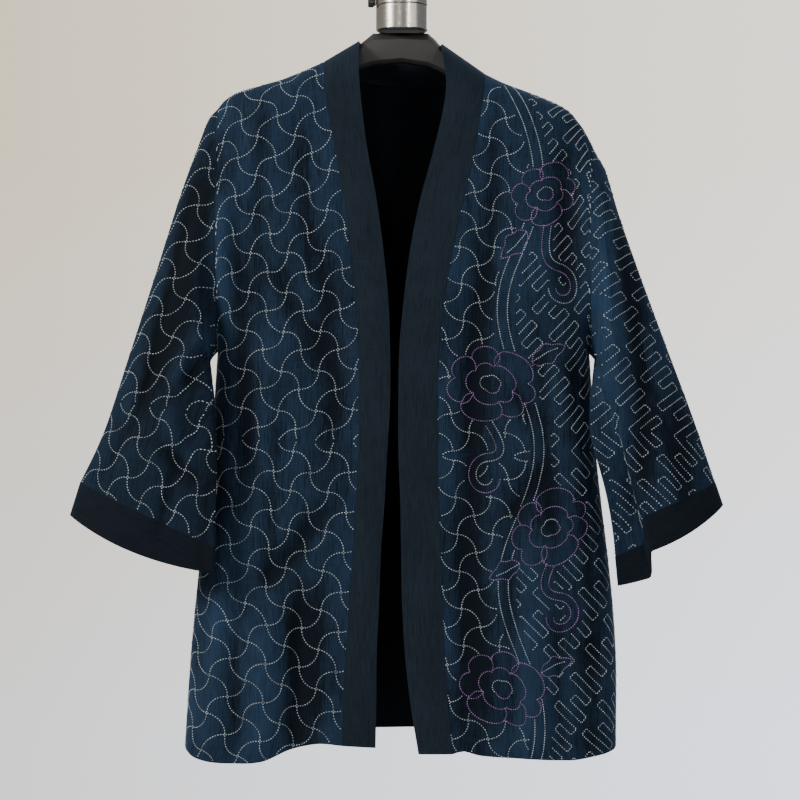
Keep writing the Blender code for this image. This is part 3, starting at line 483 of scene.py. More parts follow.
def cloth_material(name, deep, paler, slubs=1.0, unevenness_and_fold_shading=1.0, sheen=0.12):
    material = bpy.data.materials.new(name)
    material.use_nodes = True
    tree = material.node_tree
    shader = tree.nodes["Principled BSDF"]
    cloth = wire(tree, "ShaderNodeGroup", {}, node_tree=weave)
    for socket, value in (("Deep", (*deep, 1)), ("Paler", (*paler, 1)), ("Slubs", slubs), ("Unevenness_and_fold_shading", unevenness_and_fold_shading)):
        cloth.inputs[socket].default_value = value
    bump = wire(tree, "ShaderNodeBump", {"Height": cloth.outputs["Height"], "Strength": 0.55, "Distance": 0.0004})
    tree.links.new(cloth.outputs["Colour"], shader.inputs["Base Color"])
    tree.links.new(cloth.outputs["Roughness"], shader.inputs["Roughness"])
    tree.links.new(bump.outputs["Normal"], shader.inputs["Normal"])
    shader.inputs["Specular IOR Level"].default_value = 0.12
    shader.inputs["Sheen Weight"].default_value = sheen
    shader.inputs["Sheen Roughness"].default_value = 0.45
    shader.inputs["Sheen Tint"].default_value = (0.30, 0.55, 1.0, 1)
    return material


indigo = cloth_material("indigo_slub_cloth", (0.0026, 0.0054, 0.0098), (0.0190, 0.0440, 0.0860))
# The left sleeve's cloth: a darker copy of the indigo cloth, as painted shade.
shaded_sleeve_indigo = cloth_material("sleeve_cloth_painted_shade", (0.0018, 0.0038, 0.0068), (0.0115, 0.0270, 0.0530))
# The wrong side: the indigo cloth painted near black, as painted shade for the unlit inside.
shaded_wrong_side = cloth_material("wrong_side_painted_shade", (0.0016, 0.0024, 0.0042), (0.0040, 0.0058, 0.0095), 0.8, 0.6, 0.03)
band_cloth = cloth_material("neckband_slub_cloth", (0.0060, 0.0095, 0.0140), (0.0170, 0.0265, 0.0390), 1.0, 0.6, 0.10)
# The cuffs: the neckband's cloth painted darker, as painted shade.
shaded_cuff_cloth = cloth_material("cuff_cloth_painted_shade", (0.0034, 0.0052, 0.0082), (0.0074, 0.0118, 0.0190), 1.0, 0.6, 0.08)

# ------------------------------------------------------------ the sewn garment
# The cut pieces are joined edge to edge: each wall of cloth starts where its
# neighbour ends, on the same line and the same slant.
# Wall thickness, the record's slot, and the flat cut: its width, length and area in metres.
CUT = {
    "front_left": (0.0014, "indigo_cloth", 0.190, 0.780, 0.133),
    "front_right": (0.0014, "indigo_cloth", 0.195, 0.775, 0.137),
    "back": (0.0014, "indigo_cloth", 0.490, 0.770, 0.343),
    "neckband": (0.0022, "band_cloth", 0.042, 1.750, 0.070),
    "sleeve_left": (0.0014, "indigo_cloth", 0.560, 0.450, 0.095),
    "sleeve_right": (0.0014, "indigo_cloth", 0.530, 0.420, 0.086),
    "cuff_left": (0.0022, "band_cloth", 0.370, 0.040, 0.0142),
    "cuff_right": (0.0022, "band_cloth", 0.355, 0.034, 0.0106),
}
OUTWARD = {"front_left": 1, "front_right": -1, "back": 1, "neckband": -1, "sleeve_left": 1, "sleeve_right": -1, "cuff_left": 1, "cuff_right": -1}
LEAN = {"sleeve_left": math.radians(15.5), "sleeve_right": 0.0}  # how far the sleeve's cloth is turned from upright


def arcs(points, axis, start):
    """Length along one direction of a grid, counted from the line numbered start."""
    step = np.linalg.norm(np.diff(points, axis=axis), axis=-1)
    total = np.concatenate([np.zeros_like(np.take(step, [0], axis)), np.cumsum(step, axis)], axis)
    return total - np.take(total, [start], axis)


def panel_chart(name, grid):
    """Where each point of a piece lies on the flat cloth, with the hem's and the middle's points as in the picture."""
    if name == "back":
        middle = int(np.argmin(np.abs(grid[:, -1, 0])))
        return np.stack([grid[middle, :, 0][None] + arcs(grid, 0, middle), grid[:, -1:, 2] - arcs(grid, 1, -1)], -1)
    if name.startswith("front"):
        sign = -1.0 if name == "front_left" else 1.0
        return np.stack([grid[0, :, 0][None] + sign * arcs(grid, 0, 0), grid[:, -1:, 2] - arcs(grid, 1, -1)], -1)
    if name == "neckband":
        return np.stack([arcs(grid, 1, 0), arcs(grid, 0, 0)], -1)
    around = np.concatenate([grid, grid[:, :1]], 1)
    if name.startswith("cuff"):
        return np.stack([arcs(around, 0, 0), arcs(around, 1, ARM)], -1)
    fold, inner, turn = around[:, ARM][:, [0, 2]], around[:, 0][:, [0, 2]], LEAN[name]
    toward = (inner - fold) / np.linalg.norm(inner - fold, axis=-1, keepdims=True)
    edge = (fold[-1] - fold[RINGS // 3]) / np.linalg.norm(fold[-1] - fold[RINGS // 3])
    behind = 2 * (toward @ edge)[:, None] * edge - toward
    reach = arcs(around, 1, ARM)[..., None]
    flat = fold[:, None] + np.where(reach > 0, toward[:, None] * reach, -behind[:, None] * reach)
    return flat @ np.array([[math.cos(turn), math.sin(turn)], [-math.sin(turn), math.cos(turn)]])


def grid_normals(grid, closed):
    round_it = (np.roll(grid, -1, 1) - np.roll(grid, 1, 1)) if closed else np.gradient(grid, axis=1)
    normals = np.cross(np.gradient(grid, axis=0), round_it)
    return normals / np.maximum(np.linalg.norm(normals, axis=2, keepdims=True), 1e-12)


def rim(grid, closed):
    """The grid positions along a piece's edges."""
    rows, columns = grid.shape[:2]
    found = {(i, j) for i in (0, rows - 1) for j in range(columns)}
    return sorted(found if closed else found | {(i, j) for i in range(rows) for j in (0, columns - 1)})


def cloth_wall(name, grid, normals, closed, thickness, chart, painted_fold_shading, materials):
    """The closed wall of one piece, its right side in the first material and its wrong side in the second."""
    rows, columns = grid.shape[:2]
    flat = chart.shape[1]
    i, j = (a.ravel() for a in np.meshgrid(np.arange(rows - 1), np.arange(columns if closed else columns - 1), indexing="ij"))
    corners = [(i, j), (i + 1, j), (i + 1, j + 1), (i, j + 1)]
    faces = np.stack([a * columns + b % columns for a, b in corners], -1)
    places = np.stack([a * flat + b for a, b in corners], -1)
    under = rows * columns
    edges = []
    top = np.arange(columns if closed else columns - 1)
    for row in (0, rows - 1):
        edges.append((row * columns + top, row * columns + (top + 1) % columns, row * flat + top, row * flat + top + 1))
    if not closed:
        down = np.arange(rows - 1)
        for column in (0, columns - 1):
            edges.append((down * columns + column, (down + 1) * columns + column, down * flat + column, (down + 1) * flat + column))
    rims = np.concatenate([np.stack([a, b, b + under, a + under], -1) for a, b, c, d in edges])
    rim_places = np.concatenate([np.stack([c, d, d, c], -1) for a, b, c, d in edges])
    all_faces = np.concatenate([faces, faces[:, ::-1] + under, rims])
    all_places = np.concatenate([places, places[:, ::-1], rim_places])
    points = np.concatenate([(grid + normals * thickness / 2).reshape(-1, 3), (grid - normals * thickness / 2).reshape(-1, 3)])
    data = bpy.data.meshes.new(name)
    data.from_pydata(points.tolist(), [], all_faces.tolist())
    data.uv_layers.new(name="cloth").data.foreach_set("uv", chart.reshape(-1, 2)[all_places.ravel()].ravel())
    # The painted fold shade and light, kept on the points for the cloth's material.
    data.attributes.new("painted_fold_shading", "FLOAT", "POINT").data.foreach_set("value", np.tile(painted_fold_shading.ravel(), 2))
    for material in materials:
        data.materials.append(material)
    data.polygons.foreach_set("material_index", np.repeat([0, 1, 0], [len(faces), len(faces), len(rims)]))
    piece = bpy.data.objects.new(name, data)
    bpy.context.scene.collection.objects.link(piece)
    piece.select_set(True)
    bpy.context.view_layer.objects.active = piece
    bpy.ops.object.mode_set(mode="EDIT")
    bpy.ops.mesh.select_all(action="SELECT")
    bpy.ops.mesh.normals_make_consistent(inside=False)
    bpy.ops.object.mode_set(mode="OBJECT")
    bpy.ops.object.shade_smooth_by_angle(angle=math.radians(50))
    piece.select_set(False)
    return piece


for side in ("left", "right"):
    for kind in ("sleeve_", "cuff_"):
        grids[kind + side] = np.roll(grids[kind + side], -ARM, axis=1)
sewn, slants = {}, {}
for name, grid in grids.items():
    closed = name.startswith(("sleeve", "cuff"))
    sewn[name] = (grid, grid_normals(grid, closed) * OUTWARD[name], closed)
    for at in rim(grid, closed):
        slants.setdefault(tuple(np.round(grid[at] * 2e4).astype(int)), []).append((name, at))
for meeting in slants.values():
    total = np.sum([sewn[name][1][at] for name, at in meeting], axis=0)
    for name, at in meeting:
        sewn[name][1][at] = total / np.linalg.norm(total)

cloth, laid = {}, {}
for name, (grid, normals, closed) in sewn.items():
    thickness, slot, width, length, area = CUT[name]
    # The left sleeve's face takes the darker painted-shade copy of the indigo cloth.
    right_side = {"sleeve_left": shaded_sleeve_indigo, "neckband": band_cloth, "cuff_left": shaded_cuff_cloth, "cuff_right": shaded_cuff_cloth}.get(name, indigo)
    # Indigo panels get the near-black painted-shade wrong side.
    wrong_side = shaded_wrong_side if slot == "indigo_cloth" else right_side
    folds = BACK_FOLDS if name == "back" else FRONT_FOLDS
    # Painted fold shading from the fold heights: troughs darkened more strongly as painted shade, ridges lightened as
    # painted light.
    painted_fold_shading = fold_height(folds, grid[..., 0], grid[..., 2])
    painted_fold_shading = np.clip(np.where(painted_fold_shading < 0, painted_fold_shading / 0.0068 * 0.70, painted_fold_shading / 0.0081 * 0.45), -0.85, 0.5)
    laid[name] = (grid, normals, panel_chart(name, grid))
    piece = cloth_wall(name + "_cloth", grid, normals, closed, thickness, laid[name][2], painted_fold_shading, (right_side, wrong_side))
    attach(piece, "root")
    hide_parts(name)
    cloth[name] = piece

# --------------------------------------------------- the running stitch: waves
# Thick off-white cotton thread, eleven running stitches to each arc. The arcs
# cross in a net of linked waves that turns over on itself at half height.
STITCH_WIDTH, STITCH_RISE = 0.00110, 0.00068


def spindle_mesh(name, starts, middles, ends, ups, material, width=STITCH_WIDTH, rise=STITCH_RISE):
    """One mesh of many stitches: each a short spindle that dips into the cloth at both ends."""
    along = ends - starts
    aside = np.cross(along, ups)
    aside /= np.maximum(np.linalg.norm(aside, axis=1, keepdims=True), 1e-12)
    low = -ups * 0.00035
    rings = [starts + low]
    for share in (0.2, 0.8):
        centre = (starts + (middles - starts) * share * 2) if share < 0.5 else (middles + (ends - middles) * (share * 2 - 1))
        rings += [centre + aside * width / 2, centre + ups * rise, centre - aside * width / 2, centre + low]
    rings.append(ends + low)
    points = np.stack(rings, 1)
    shape = [(0, 1 + k, 1 + (k + 1) % 4) for k in range(4)] + [(9, 5 + (k + 1) % 4, 5 + k) for k in range(4)]
    sides = [(1 + k, 5 + k, 5 + (k + 1) % 4, 1 + (k + 1) % 4) for k in range(4)]
    faces = []
    for first in range(0, len(points) * 10, 10):
        faces += [tuple(first + c for c in face) for face in shape + sides]
    data = bpy.data.meshes.new(name)
    data.from_pydata(points.reshape(-1, 3).tolist(), [], faces)
    data.materials.append(material)
    data.shade_smooth()
    piece = bpy.data.objects.new(name, data)
    bpy.context.scene.collection.objects.link(piece)
    return piece


def on_cloth(name, flat):
    """Looks points of the flat cloth up on the hung piece: which were found, where they are and which way is out."""
    grid, normals, chart = laid[name]
    if chart.shape[1] > grid.shape[1]:
        grid, normals = np.concatenate([grid, grid[:, :1]], 1), np.concatenate([normals, normals[:, :1]], 1)
    rows, columns = chart.shape[:2]
    i, j = (a.ravel() for a in np.meshgrid(np.arange(rows - 1), np.arange(columns - 1), indexing="ij"))
    a, b, c, d = i * columns + j, (i + 1) * columns + j, (i + 1) * columns + j + 1, i * columns + j + 1
    triangles = np.concatenate([np.stack([a, b, c], -1), np.stack([a, c, d], -1)])
    flat_points = chart.reshape(-1, 2)
    tree = BVHTree.FromPolygons([(x, y, 0.0) for x, y in flat_points], triangles.tolist())
    hits = [tree.ray_cast(Vector((x, y, 1.0)), Vector((0, 0, -1)))[2] for x, y in flat]
    found = np.array([hit is not None for hit in hits])
    corner = triangles[np.array([0 if hit is None else hit for hit in hits])]
    p, q, r = (flat_points[corner[:, k]] for k in range(3))
    area = (q[:, 0] - p[:, 0]) * (r[:, 1] - p[:, 1]) - (q[:, 1] - p[:, 1]) * (r[:, 0] - p[:, 0])
    area = np.where(np.abs(area) < 1e-14, 1e-14, area)
    second = ((flat[:, 0] - p[:, 0]) * (r[:, 1] - p[:, 1]) - (flat[:, 1] - p[:, 1]) * (r[:, 0] - p[:, 0])) / area
    third = ((q[:, 0] - p[:, 0]) * (flat[:, 1] - p[:, 1]) - (q[:, 1] - p[:, 1]) * (flat[:, 0] - p[:, 0])) / area
    shares = np.stack([1 - second - third, second, third], -1)[..., None]
    places, ups = (grid.reshape(-1, 3)[corner] * shares).sum(1), (normals.reshape(-1, 3)[corner] * shares).sum(1)
    return found, places, ups / np.maximum(np.linalg.norm(ups, axis=1, keepdims=True), 1e-12)


def running(lines, pitch=None, count=None, duty=0.68):
    """Even stitches along lines of the flat cloth: each one's start, middle and end."""
    made = []
    for line in lines:
        line = np.asarray(line, float)
        far = np.concatenate([[0], np.cumsum(np.linalg.norm(np.diff(line, axis=0), axis=1))])
        if far[-1] < 0.002:
            continue
        number = count or max(1, round(far[-1] / pitch))
        at = (np.arange(number)[:, None] + np.array([0.5 - duty / 2, 0.5, 0.5 + duty / 2])) / number * far[-1]
        made.append(np.stack([np.interp(at, far, line[:, 0]), np.interp(at, far, line[:, 1])], -1))
    return np.concatenate(made) if made else np.zeros((0, 3, 2))


def sew(panel, stitches, material, label, keep=None):
    """Sews stitches to a panel where they fall on it and inside the pattern's own ground."""
    flat = stitches.reshape(-1, 2)
    found, places, ups = on_cloth(panel, flat)
    good = found.reshape(-1, 3).all(1)
    if keep is not None:
        good &= keep(stitches[:, 1])
    places, ups = places.reshape(-1, 3, 3), ups.reshape(-1, 3, 3)
    good &= np.linalg.norm(places[:, 2] - places[:, 0], axis=1) < 0.009
    out = places[good] + ups[good] * (CUT[panel][0] / 2)
    piece = spindle_mesh(panel + label, out[:, 0], out[:, 1], out[:, 2], ups[good][:, 1], material)
    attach(piece, "root")
    with_cloth.setdefault(panel, []).append(piece)
    return piece


def wave_net(middle, mirror, first, step, lean, tilt, reach):
    """Arcs of linked waves above and below the line where the net turns over."""
    turned = np.linspace(0, np.pi / 2, 13)
    rising, flat_first = np.stack([1 - np.cos(turned), np.sin(turned)], -1), np.stack([np.sin(turned), 1 - np.cos(turned)], -1)
    lines = []
    for up in (1, -1):
        for row in range(0, int(reach[1] / step[1]) + 1):
            for column in range(-int(reach[0] / step[0]), int(reach[0] / step[0]) + 1):
                if (row + column) % 2 == 0:
                    continue
                start = np.array([column * step[0], first + (row - 1) * step[1]])
                odd = row % 2 == 1
                right = start + (flat_first if odd else rising) * step
                left = start + (rising if odd else flat_first) * step * [-1, 1]
                for arc in (right, left):
                    kept = arc[arc[:, 1] >= -1e-4]
                    if len(kept) < 4:
                        continue
                    height = mirror + up * kept[:, 1]
                    across_it = kept[:, 0] + lean * (height - mirror)
                    lines.append((len(kept) - 1, np.stack([middle + across_it, height + (tilt[0] + tilt[1] * (height + 0.2)) * across_it], -1)))
    return lines


def wave_stitches(*net):
    lines = wave_net(*net)
    whole, cut_short = [line for n, line in lines if n == 12], [line for n, line in lines if n < 12]
    return np.concatenate([running(whole, count=11), running(cut_short, pitch=0.0030)])


def thread(name, colour):
    material = bpy.data.materials.new(name)
    material.use_nodes = True
    tree = material.node_tree
    shader = tree.nodes["Principled BSDF"]
    place = wire(tree, "ShaderNodeTexCoord").outputs["Object"]
    uneven = wire(tree, "ShaderNodeTexNoise", {"Vector": place, "Scale": 120.0, "Detail": 2.0}).outputs["Fac"]
    twist = wire(tree, "ShaderNodeTexNoise", {"Vector": place, "Scale": 2600.0, "Detail": 1.0}).outputs["Fac"]
    dark = tuple(c * 0.45 for c in colour)
    tree.links.new(mix(tree, ramp(tree, uneven, 0.32, 0.62), (*dark, 1), (*colour, 1)), shader.inputs["Base Color"])
    tree.links.new(wire(tree, "ShaderNodeBump", {"Height": twist, "Strength": 0.4, "Distance": 0.0002}).outputs["Normal"], shader.inputs["Normal"])
    shader.inputs["Roughness"].default_value = 0.8
    shader.inputs["Specular IOR Level"].default_value = 0.2
    return material


off_white = thread("off_white_thread", (0.56, 0.62, 0.64))
mauve = thread("mauve_thread", (0.440, 0.240, 0.500))
with_cloth = {}
# Where each panel's net starts: its middle, the line it turns over on, the first row's height above that, the step, lean and tilt.
WAVES = {
    "front_left": (-0.120, -0.515, 0.0122, np.array([0.0214, 0.0215]), 0.065, (0.07, 0.33), (0.20, 0.46)),
    "back": (0.0, -0.515, 0.0122, np.array([0.0214, 0.0215]), 0.0, (0.0, 0.0), (0.32, 0.46)),
    "sleeve_left": (-0.1409, -0.5444, 0.0118, np.array([0.0201, 0.0211]), 0.0, (0.0, 0.0), (0.60, 0.46)),
}
for panel, net in WAVES.items():
    sew(panel, wave_stitches(*net), off_white, "_waves")

# ------------------------------------------- the running stitch: the right side
# A double line swings down the right front: waves lie inside it, and a key
# fret outside it and over the sleeve. Four small flowers and three scrolls break them.
# The double line is an even wave down the front: its middle, how far it swings and the length of one wave.
EDGE_MIDDLE, EDGE_SWING, EDGE_WAVE = 0.128, 0.020, 0.300
EDGE_GAP = 0.0112
FRET_UNIT, FRET_MIRROR = 0.0088, -0.527
# Each peony: its middle, half its width and height, how far it is turned, its petals outside and inside.
PEONIES = [(0.162, -0.246, 0.040, 0.034, 0.30, 7, 5), (0.100, -0.455, 0.050, 0.043, -0.20, 7, 5), (0.166, -0.612, 0.046, 0.040, 0.60, 7, 5), (0.112, -0.788, 0.048, 0.042, -0.50, 7, 5)]
# Each leaf: the stem's end, the tip and how wide it is for its length.
LEAVES = [((0.140, -0.286), (0.112, -0.318), 0.25), ((0.146, -0.430), (0.184, -0.412), 0.25), ((0.132, -0.650), (0.098, -0.668), 0.25), ((0.156, -0.770), (0.194, -0.756), 0.25)]
# Each scroll: the middle of its curl, the curl's size, where it starts and how far it turns, and where its stem meets a flower.
SCROLLS = [
    ((0.1800, -0.3480), 0.0210, -3.00, 4.6, (0.1640, -0.2800)),
    ((0.0960, -0.5560), 0.0210, 6.10, -4.6, (0.0980, -0.4980)),
    ((0.1760, -0.7080), 0.0210, -3.00, 4.6, (0.1660, -0.6520)),
]
SCROLL_GAP = 0.0086


def smooth_line(points, steps=10):
    """A soft line through the points of a table."""
    points = np.asarray(points, float)
    ends = np.concatenate([2 * points[:1] - points[1:2], points, 2 * points[-1:] - points[-2:-1]])
    t = (np.arange(steps) / steps)[:, None]
    made = [0.5 * (2 * b + (c - a) * t + (2 * a - 5 * b + 4 * c - d) * t**2 + (3 * b - a - 3 * c + d) * t**3) for a, b, c, d in zip(ends, ends[1:], ends[2:], ends[3:])]
    return np.concatenate([*made, points[-1:]])


def beside(line, gap):
    """A line at a set distance from another, on its left going along it."""
    along = np.gradient(line, axis=0)
    along /= np.maximum(np.linalg.norm(along, axis=1, keepdims=True), 1e-9)
    return line + np.stack([-along[:, 1], along[:, 0]], -1) * gap


def within(points, outline):
    """Which points lie inside a closed outline."""
    x, z, following = points[:, :1], points[:, 1:], np.roll(outline, -1, 0)
    rise = following[:, 1] - outline[:, 1]
    at = outline[:, 0] + (z - outline[:, 1]) * (following[:, 0] - outline[:, 0]) / np.where(rise == 0, 1e-9, rise)
    return (((outline[:, 1] > z) != (following[:, 1] > z)) & (x < at)).sum(1) % 2 == 1


def petals(flower, share, count, swell, start):
    """A scalloped ring of petals, no two of the same width."""
    x, z, wide, high, turn = flower[:5]
    angle = np.linspace(0, 2 * np.pi, 26 * count + 1)
    uneven = angle + 0.16 * np.sin(2 * angle + start) + 0.09 * np.sin(3 * angle + 1.0)
    reach = share * (1 - swell * (1 - np.abs(np.sin(count * (uneven - start) / 2)) ** 0.55)) * (1 + 0.05 * np.sin(2 * angle + start))
    flat = np.stack([wide * reach * np.cos(angle), high * reach * np.sin(angle)], -1)
    notches = flat[np.argsort(np.abs(np.sin(count * (uneven - start) / 2)))[: count * 3]]
    turned = np.array([[math.cos(turn), math.sin(turn)], [-math.sin(turn), math.cos(turn)]])
    return flat @ turned + [x, z], notches @ turned + [x, z]


def peony_lines(flower):
    """The lines of one flower: its outline, its other mauve lines and its off-white heart."""
    outside, inside = flower[5:]
    outline, outer_notches = petals(flower, 1.0, outside, 0.22, 0.5)
    middle, middle_notches = petals(flower, 0.56, inside, 0.20, 1.4)
    heart, _ = petals(flower, 0.24, 3, 0.24, 2.1)
    between = []
    for k, notch in enumerate(outer_notches[:outside * 3:3]):
        near = middle_notches[np.argmin(np.linalg.norm(middle_notches - notch, axis=1))]
        bow = np.array([-(near - notch)[1], (near - notch)[0]]) * (0.16 if k % 2 else -0.16)
        between.append(smooth_line([notch, (notch + near) / 2 + bow, near], 6))
    split = len(heart) * 2 // 3
    return outline, [middle, heart[split - 1 :], *between], [heart[:split]]


def leaf_lines(base, tip, swell):
    base, tip, t = np.array(base), np.array(tip), np.linspace(0, 1, 25)[:, None]
    along = tip - base
    bow = np.array([-along[1], along[0]]) * swell * np.sin(np.pi * t**0.8) * (1 + 0.15 * np.sin(5 * np.pi * t))
    left, right = base + along * t + bow, base + along * t - bow
    return np.concatenate([left, right[::-1]]), base + along * t[:20] + bow[:20] * 0.15


def scroll_line(centre, size, start, turn, joins):
    """The middle of a double line: a curl, then a stem that leaves it straight on and bends to its flower."""
    share = np.linspace(0, 1, 46)
    angle, reach = start + turn * share, size * (0.48 + 0.52 * share)
    curl = np.stack([centre[0] + reach * np.cos(angle), centre[1] + reach * np.sin(angle)], -1)
    onward = curl[-1] - curl[-2]
    near = curl[-1] + onward / np.linalg.norm(onward) * size * 1.1
    t, joins = np.linspace(0, 1, 20)[1:, None], np.array(joins)
    stem = (1 - t) ** 3 * curl[-1] + 3 * t * (1 - t) ** 2 * near + 3 * t**2 * (1 - t) * (near * 0.4 + joins * 0.6) + t**3 * joins
    return np.concatenate([curl, stem])


edge_height = np.linspace(-0.115, -0.880, 220)
edge_line = np.stack([EDGE_MIDDLE + EDGE_SWING * np.sin(2 * np.pi * edge_height / EDGE_WAVE), edge_height], -1)
flowers = [peony_lines(flower) for flower in PEONIES]
leaves = [leaf_lines(*leaf) for leaf in LEAVES]
scrolls = [scroll_line(*row) for row in SCROLLS]
outlines = [flower[0] for flower in flowers] + [leaf[0] for leaf in leaves]
scroll_points = np.concatenate(scrolls)


def open_ground(points, gap=0.0085):
    """Where no flower, leaf or scroll lies."""
    clear = ~np.any([within(points, (outline - outline.mean(0)) * 1.05 + outline.mean(0)) for outline in outlines], axis=0)
    near = np.concatenate([np.min(np.linalg.norm(part[:, None] - scroll_points[None], axis=2), axis=1) for part in np.array_split(points, max(1, len(points) // 400))])
    return clear & (near > gap)


def past_edge(points):
    """How far right of the double line each point is."""
    return points[:, 0] - np.interp(-points[:, 1], -edge_line[:, 1], edge_line[:, 0])


def fret_stitches(unit, mirror, reach):
    """A key fret of long and short legs at 45 degrees, turned over at half height."""
    legs = [(0, 0, 4, 0), (4, 0, 4, 1), (4, 1, 2, 1), (2, 1, 2, 2), (2, 2, 5, 2), (5, 2, 5, 3), (5, 3, 1, 3), (1, 3, 1, 4)]
    lines = []
    for climb in range(-reach, reach):
        for along in range(-reach, reach):
            for x1, y1, x2, y2 in legs:
                ends = np.array([[x1, y1], [x2, y2]], float) + [along * 5 + climb, climb * 4]
                lines.append(ends @ np.array([[1, 1], [-1, 1]]) / math.sqrt(2) * unit)
    lines = np.array(lines)
    kept = lines[(lines[:, :, 1].max(1) > 0) & (lines[:, :, 1].max(1) < 0.48) & (np.abs(lines[:, :, 0] - 0.05).max(1) < 0.34)]
    stitches = running(kept, pitch=0.0027, duty=0.66)
    stitches = stitches[stitches[:, :, 1].min(1) > 0.0]
    above, below = stitches * [1, 1] + [0.19, mirror], stitches * [1, -1] + [0.19, mirror]
    return np.concatenate([above, below])


right_waves = wave_stitches(0.0561, -0.533, 0.0050, np.array([0.0205, 0.0203]), -0.06, (0.0, 0.0), (0.16, 0.42))
right_fret = fret_stitches(FRET_UNIT, FRET_MIRROR, 30)
double_line = running([beside(edge_line, 0.0), beside(edge_line, EDGE_GAP)], pitch=0.0026, duty=0.72)
mauve_lines = [outline for outline, _, _ in flowers] + [line for _, others, _ in flowers for line in others] + [leaf[0] for leaf in leaves]
pale_lines = [line for _, _, hearts in flowers for line in hearts] + [leaf[1] for leaf in leaves]
for number, line in enumerate(scrolls):
    mauve_lines.append(beside(line, SCROLL_GAP / 2))
    (mauve_lines if number == 2 else pale_lines).append(beside(line, -SCROLL_GAP / 2))
sew("front_right", running(mauve_lines, pitch=0.0026, duty=0.70), mauve, "_peonies")
sew("front_right", running(pale_lines, pitch=0.0026, duty=0.70), off_white, "_scrolls")
for panel in ("front_right", "sleeve_right"):
    sew(panel, right_fret, off_white, "_fret", lambda m: (past_edge(m) > EDGE_GAP + 0.009) & open_ground(m))
sew("front_right", right_waves, off_white, "_waves", lambda m: (past_edge(m) < -0.005) & open_ground(m))
sew("front_right", double_line, off_white, "_double_line", lambda m: open_ground(m, 0.0065))

# ------------------------------------------------------------------ the hanger
# A shaped hanger moulded in dark matt plastic, with a broad flat yoke that shows
# between the bands. Its arms carry the shoulders from inside.


def fine_finish(name, colour, roughness, grain, strength, metallic=0.0, paler=1.6):
    """A hard finish with a grain along one direction (cells a metre in x, y and z) and a little wear."""
    material = bpy.data.materials.new(name)
    material.use_nodes = True
    tree = material.node_tree
    shader = tree.nodes["Principled BSDF"]
    place = wire(tree, "ShaderNodeTexCoord").outputs["Object"]
    moved = wire(tree, "ShaderNodeMapping", {"Vector": place, "Scale": grain})
    fine = wire(tree, "ShaderNodeTexNoise", {"Vector": moved.outputs["Vector"], "Scale": 1.0, "Detail": 3.0}).outputs["Fac"]
    patches = wire(tree, "ShaderNodeTexNoise", {"Vector": place, "Scale": 45.0, "Detail": 3.0}).outputs["Fac"]
    lighter = tuple(min(1.0, c * paler) for c in colour)
    share = maths(tree, "MULTIPLY", ramp(tree, patches, 0.35, 0.75), ramp(tree, fine, 0.3, 0.7, 0.4, 1.0))
    tree.links.new(mix(tree, share, (*colour, 1), (*lighter, 1)), shader.inputs["Base Color"])
    tree.links.new(ramp(tree, fine, 0.25, 0.75, roughness * 0.85, roughness * 1.2), shader.inputs["Roughness"])
    tree.links.new(wire(tree, "ShaderNodeBump", {"Height": fine, "Strength": strength, "Distance": 0.0002}).outputs["Normal"], shader.inputs["Normal"])
    shader.inputs["Metallic"].default_value = metallic
    return material


bpy.ops.object.select_all(action="DESELECT")
frame["nodes"]["hanger"].select_set(True)
bpy.context.view_layer.objects.active = frame["nodes"]["hanger"]
bpy.ops.object.duplicate()
yoke = bpy.context.active_object
yoke.name = yoke.data.name = "hanger_moulding"
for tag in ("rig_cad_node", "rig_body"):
    if tag in yoke:
        del yoke[tag]
bpy.ops.object.mode_set(mode="EDIT")
bpy.ops.mesh.select_all(action="SELECT")
bpy.ops.mesh.remove_doubles(threshold=0.00005)
bpy.ops.mesh.tris_convert_to_quads()
bpy.ops.object.mode_set(mode="OBJECT")
yoke.data.materials.clear()
yoke.data.materials.append(fine_finish("matt_dark_plastic", (0.030, 0.028, 0.026), 0.52, (900.0, 900.0, 900.0), 0.25, 0.0, 1.25))
rounded = yoke.modifiers.new("rounded", "BEVEL")
rounded.width, rounded.segments, rounded.limit_method, rounded.angle_limit = 0.0018, 3, "ANGLE", math.radians(18)
bpy.ops.object.modifier_apply(modifier="rounded")
bpy.ops.object.shade_smooth_by_angle(angle=math.radians(60))
yoke.select_set(False)
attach(yoke, "root")
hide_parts("hanger")

# -------------------------------------------------------------------- the tube
# Two lengths of brushed steel tube with a fine joint, a dark moulded core that
# closes them from below, and a small screw knob beside the joint.
TUBE_RADIUS, TUBE_INSIDE, JOINT_Z, TUBE_END_Z, CORE_END_Z = 0.0290, 0.0270, -0.0363, -0.0640, -0.0656
KNOB_Z = -0.0325


def turned_piece(name, profile, material, steps=96, axis="Z", place=(0, 0, 0)):
    """A piece turned on a lathe: its profile as radius and length along the axis."""
    bpy.ops.object.select_all(action="DESELECT")
    data = bpy.data.meshes.new(name)
    rows = [(r, 0, z) if axis == "Z" else (-z, 0, r) for r, z in profile]
    data.from_pydata([tuple(a + b for a, b in zip(row, place)) for row in rows], [(i, i + 1) for i in range(len(rows) - 1)], [])
    piece = bpy.data.objects.new(name, data)
    bpy.context.scene.collection.objects.link(piece)
    piece.select_set(True)
    bpy.context.view_layer.objects.active = piece
    bpy.ops.object.mode_set(mode="EDIT")
    bpy.ops.mesh.select_all(action="SELECT")
    bpy.ops.mesh.spin(steps=steps, angle=2 * math.pi, center=place, axis=(0, 0, 1) if axis == "Z" else (1, 0, 0))
    bpy.ops.mesh.select_all(action="SELECT")
    bpy.ops.mesh.remove_doubles(threshold=0.00002)
    bpy.ops.mesh.normals_make_consistent(inside=False)
    bpy.ops.object.mode_set(mode="OBJECT")
    piece.data.materials.append(material)
    bpy.ops.object.shade_smooth_by_angle(angle=math.radians(35))
    piece.select_set(False)
    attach(piece, "root")
    return piece


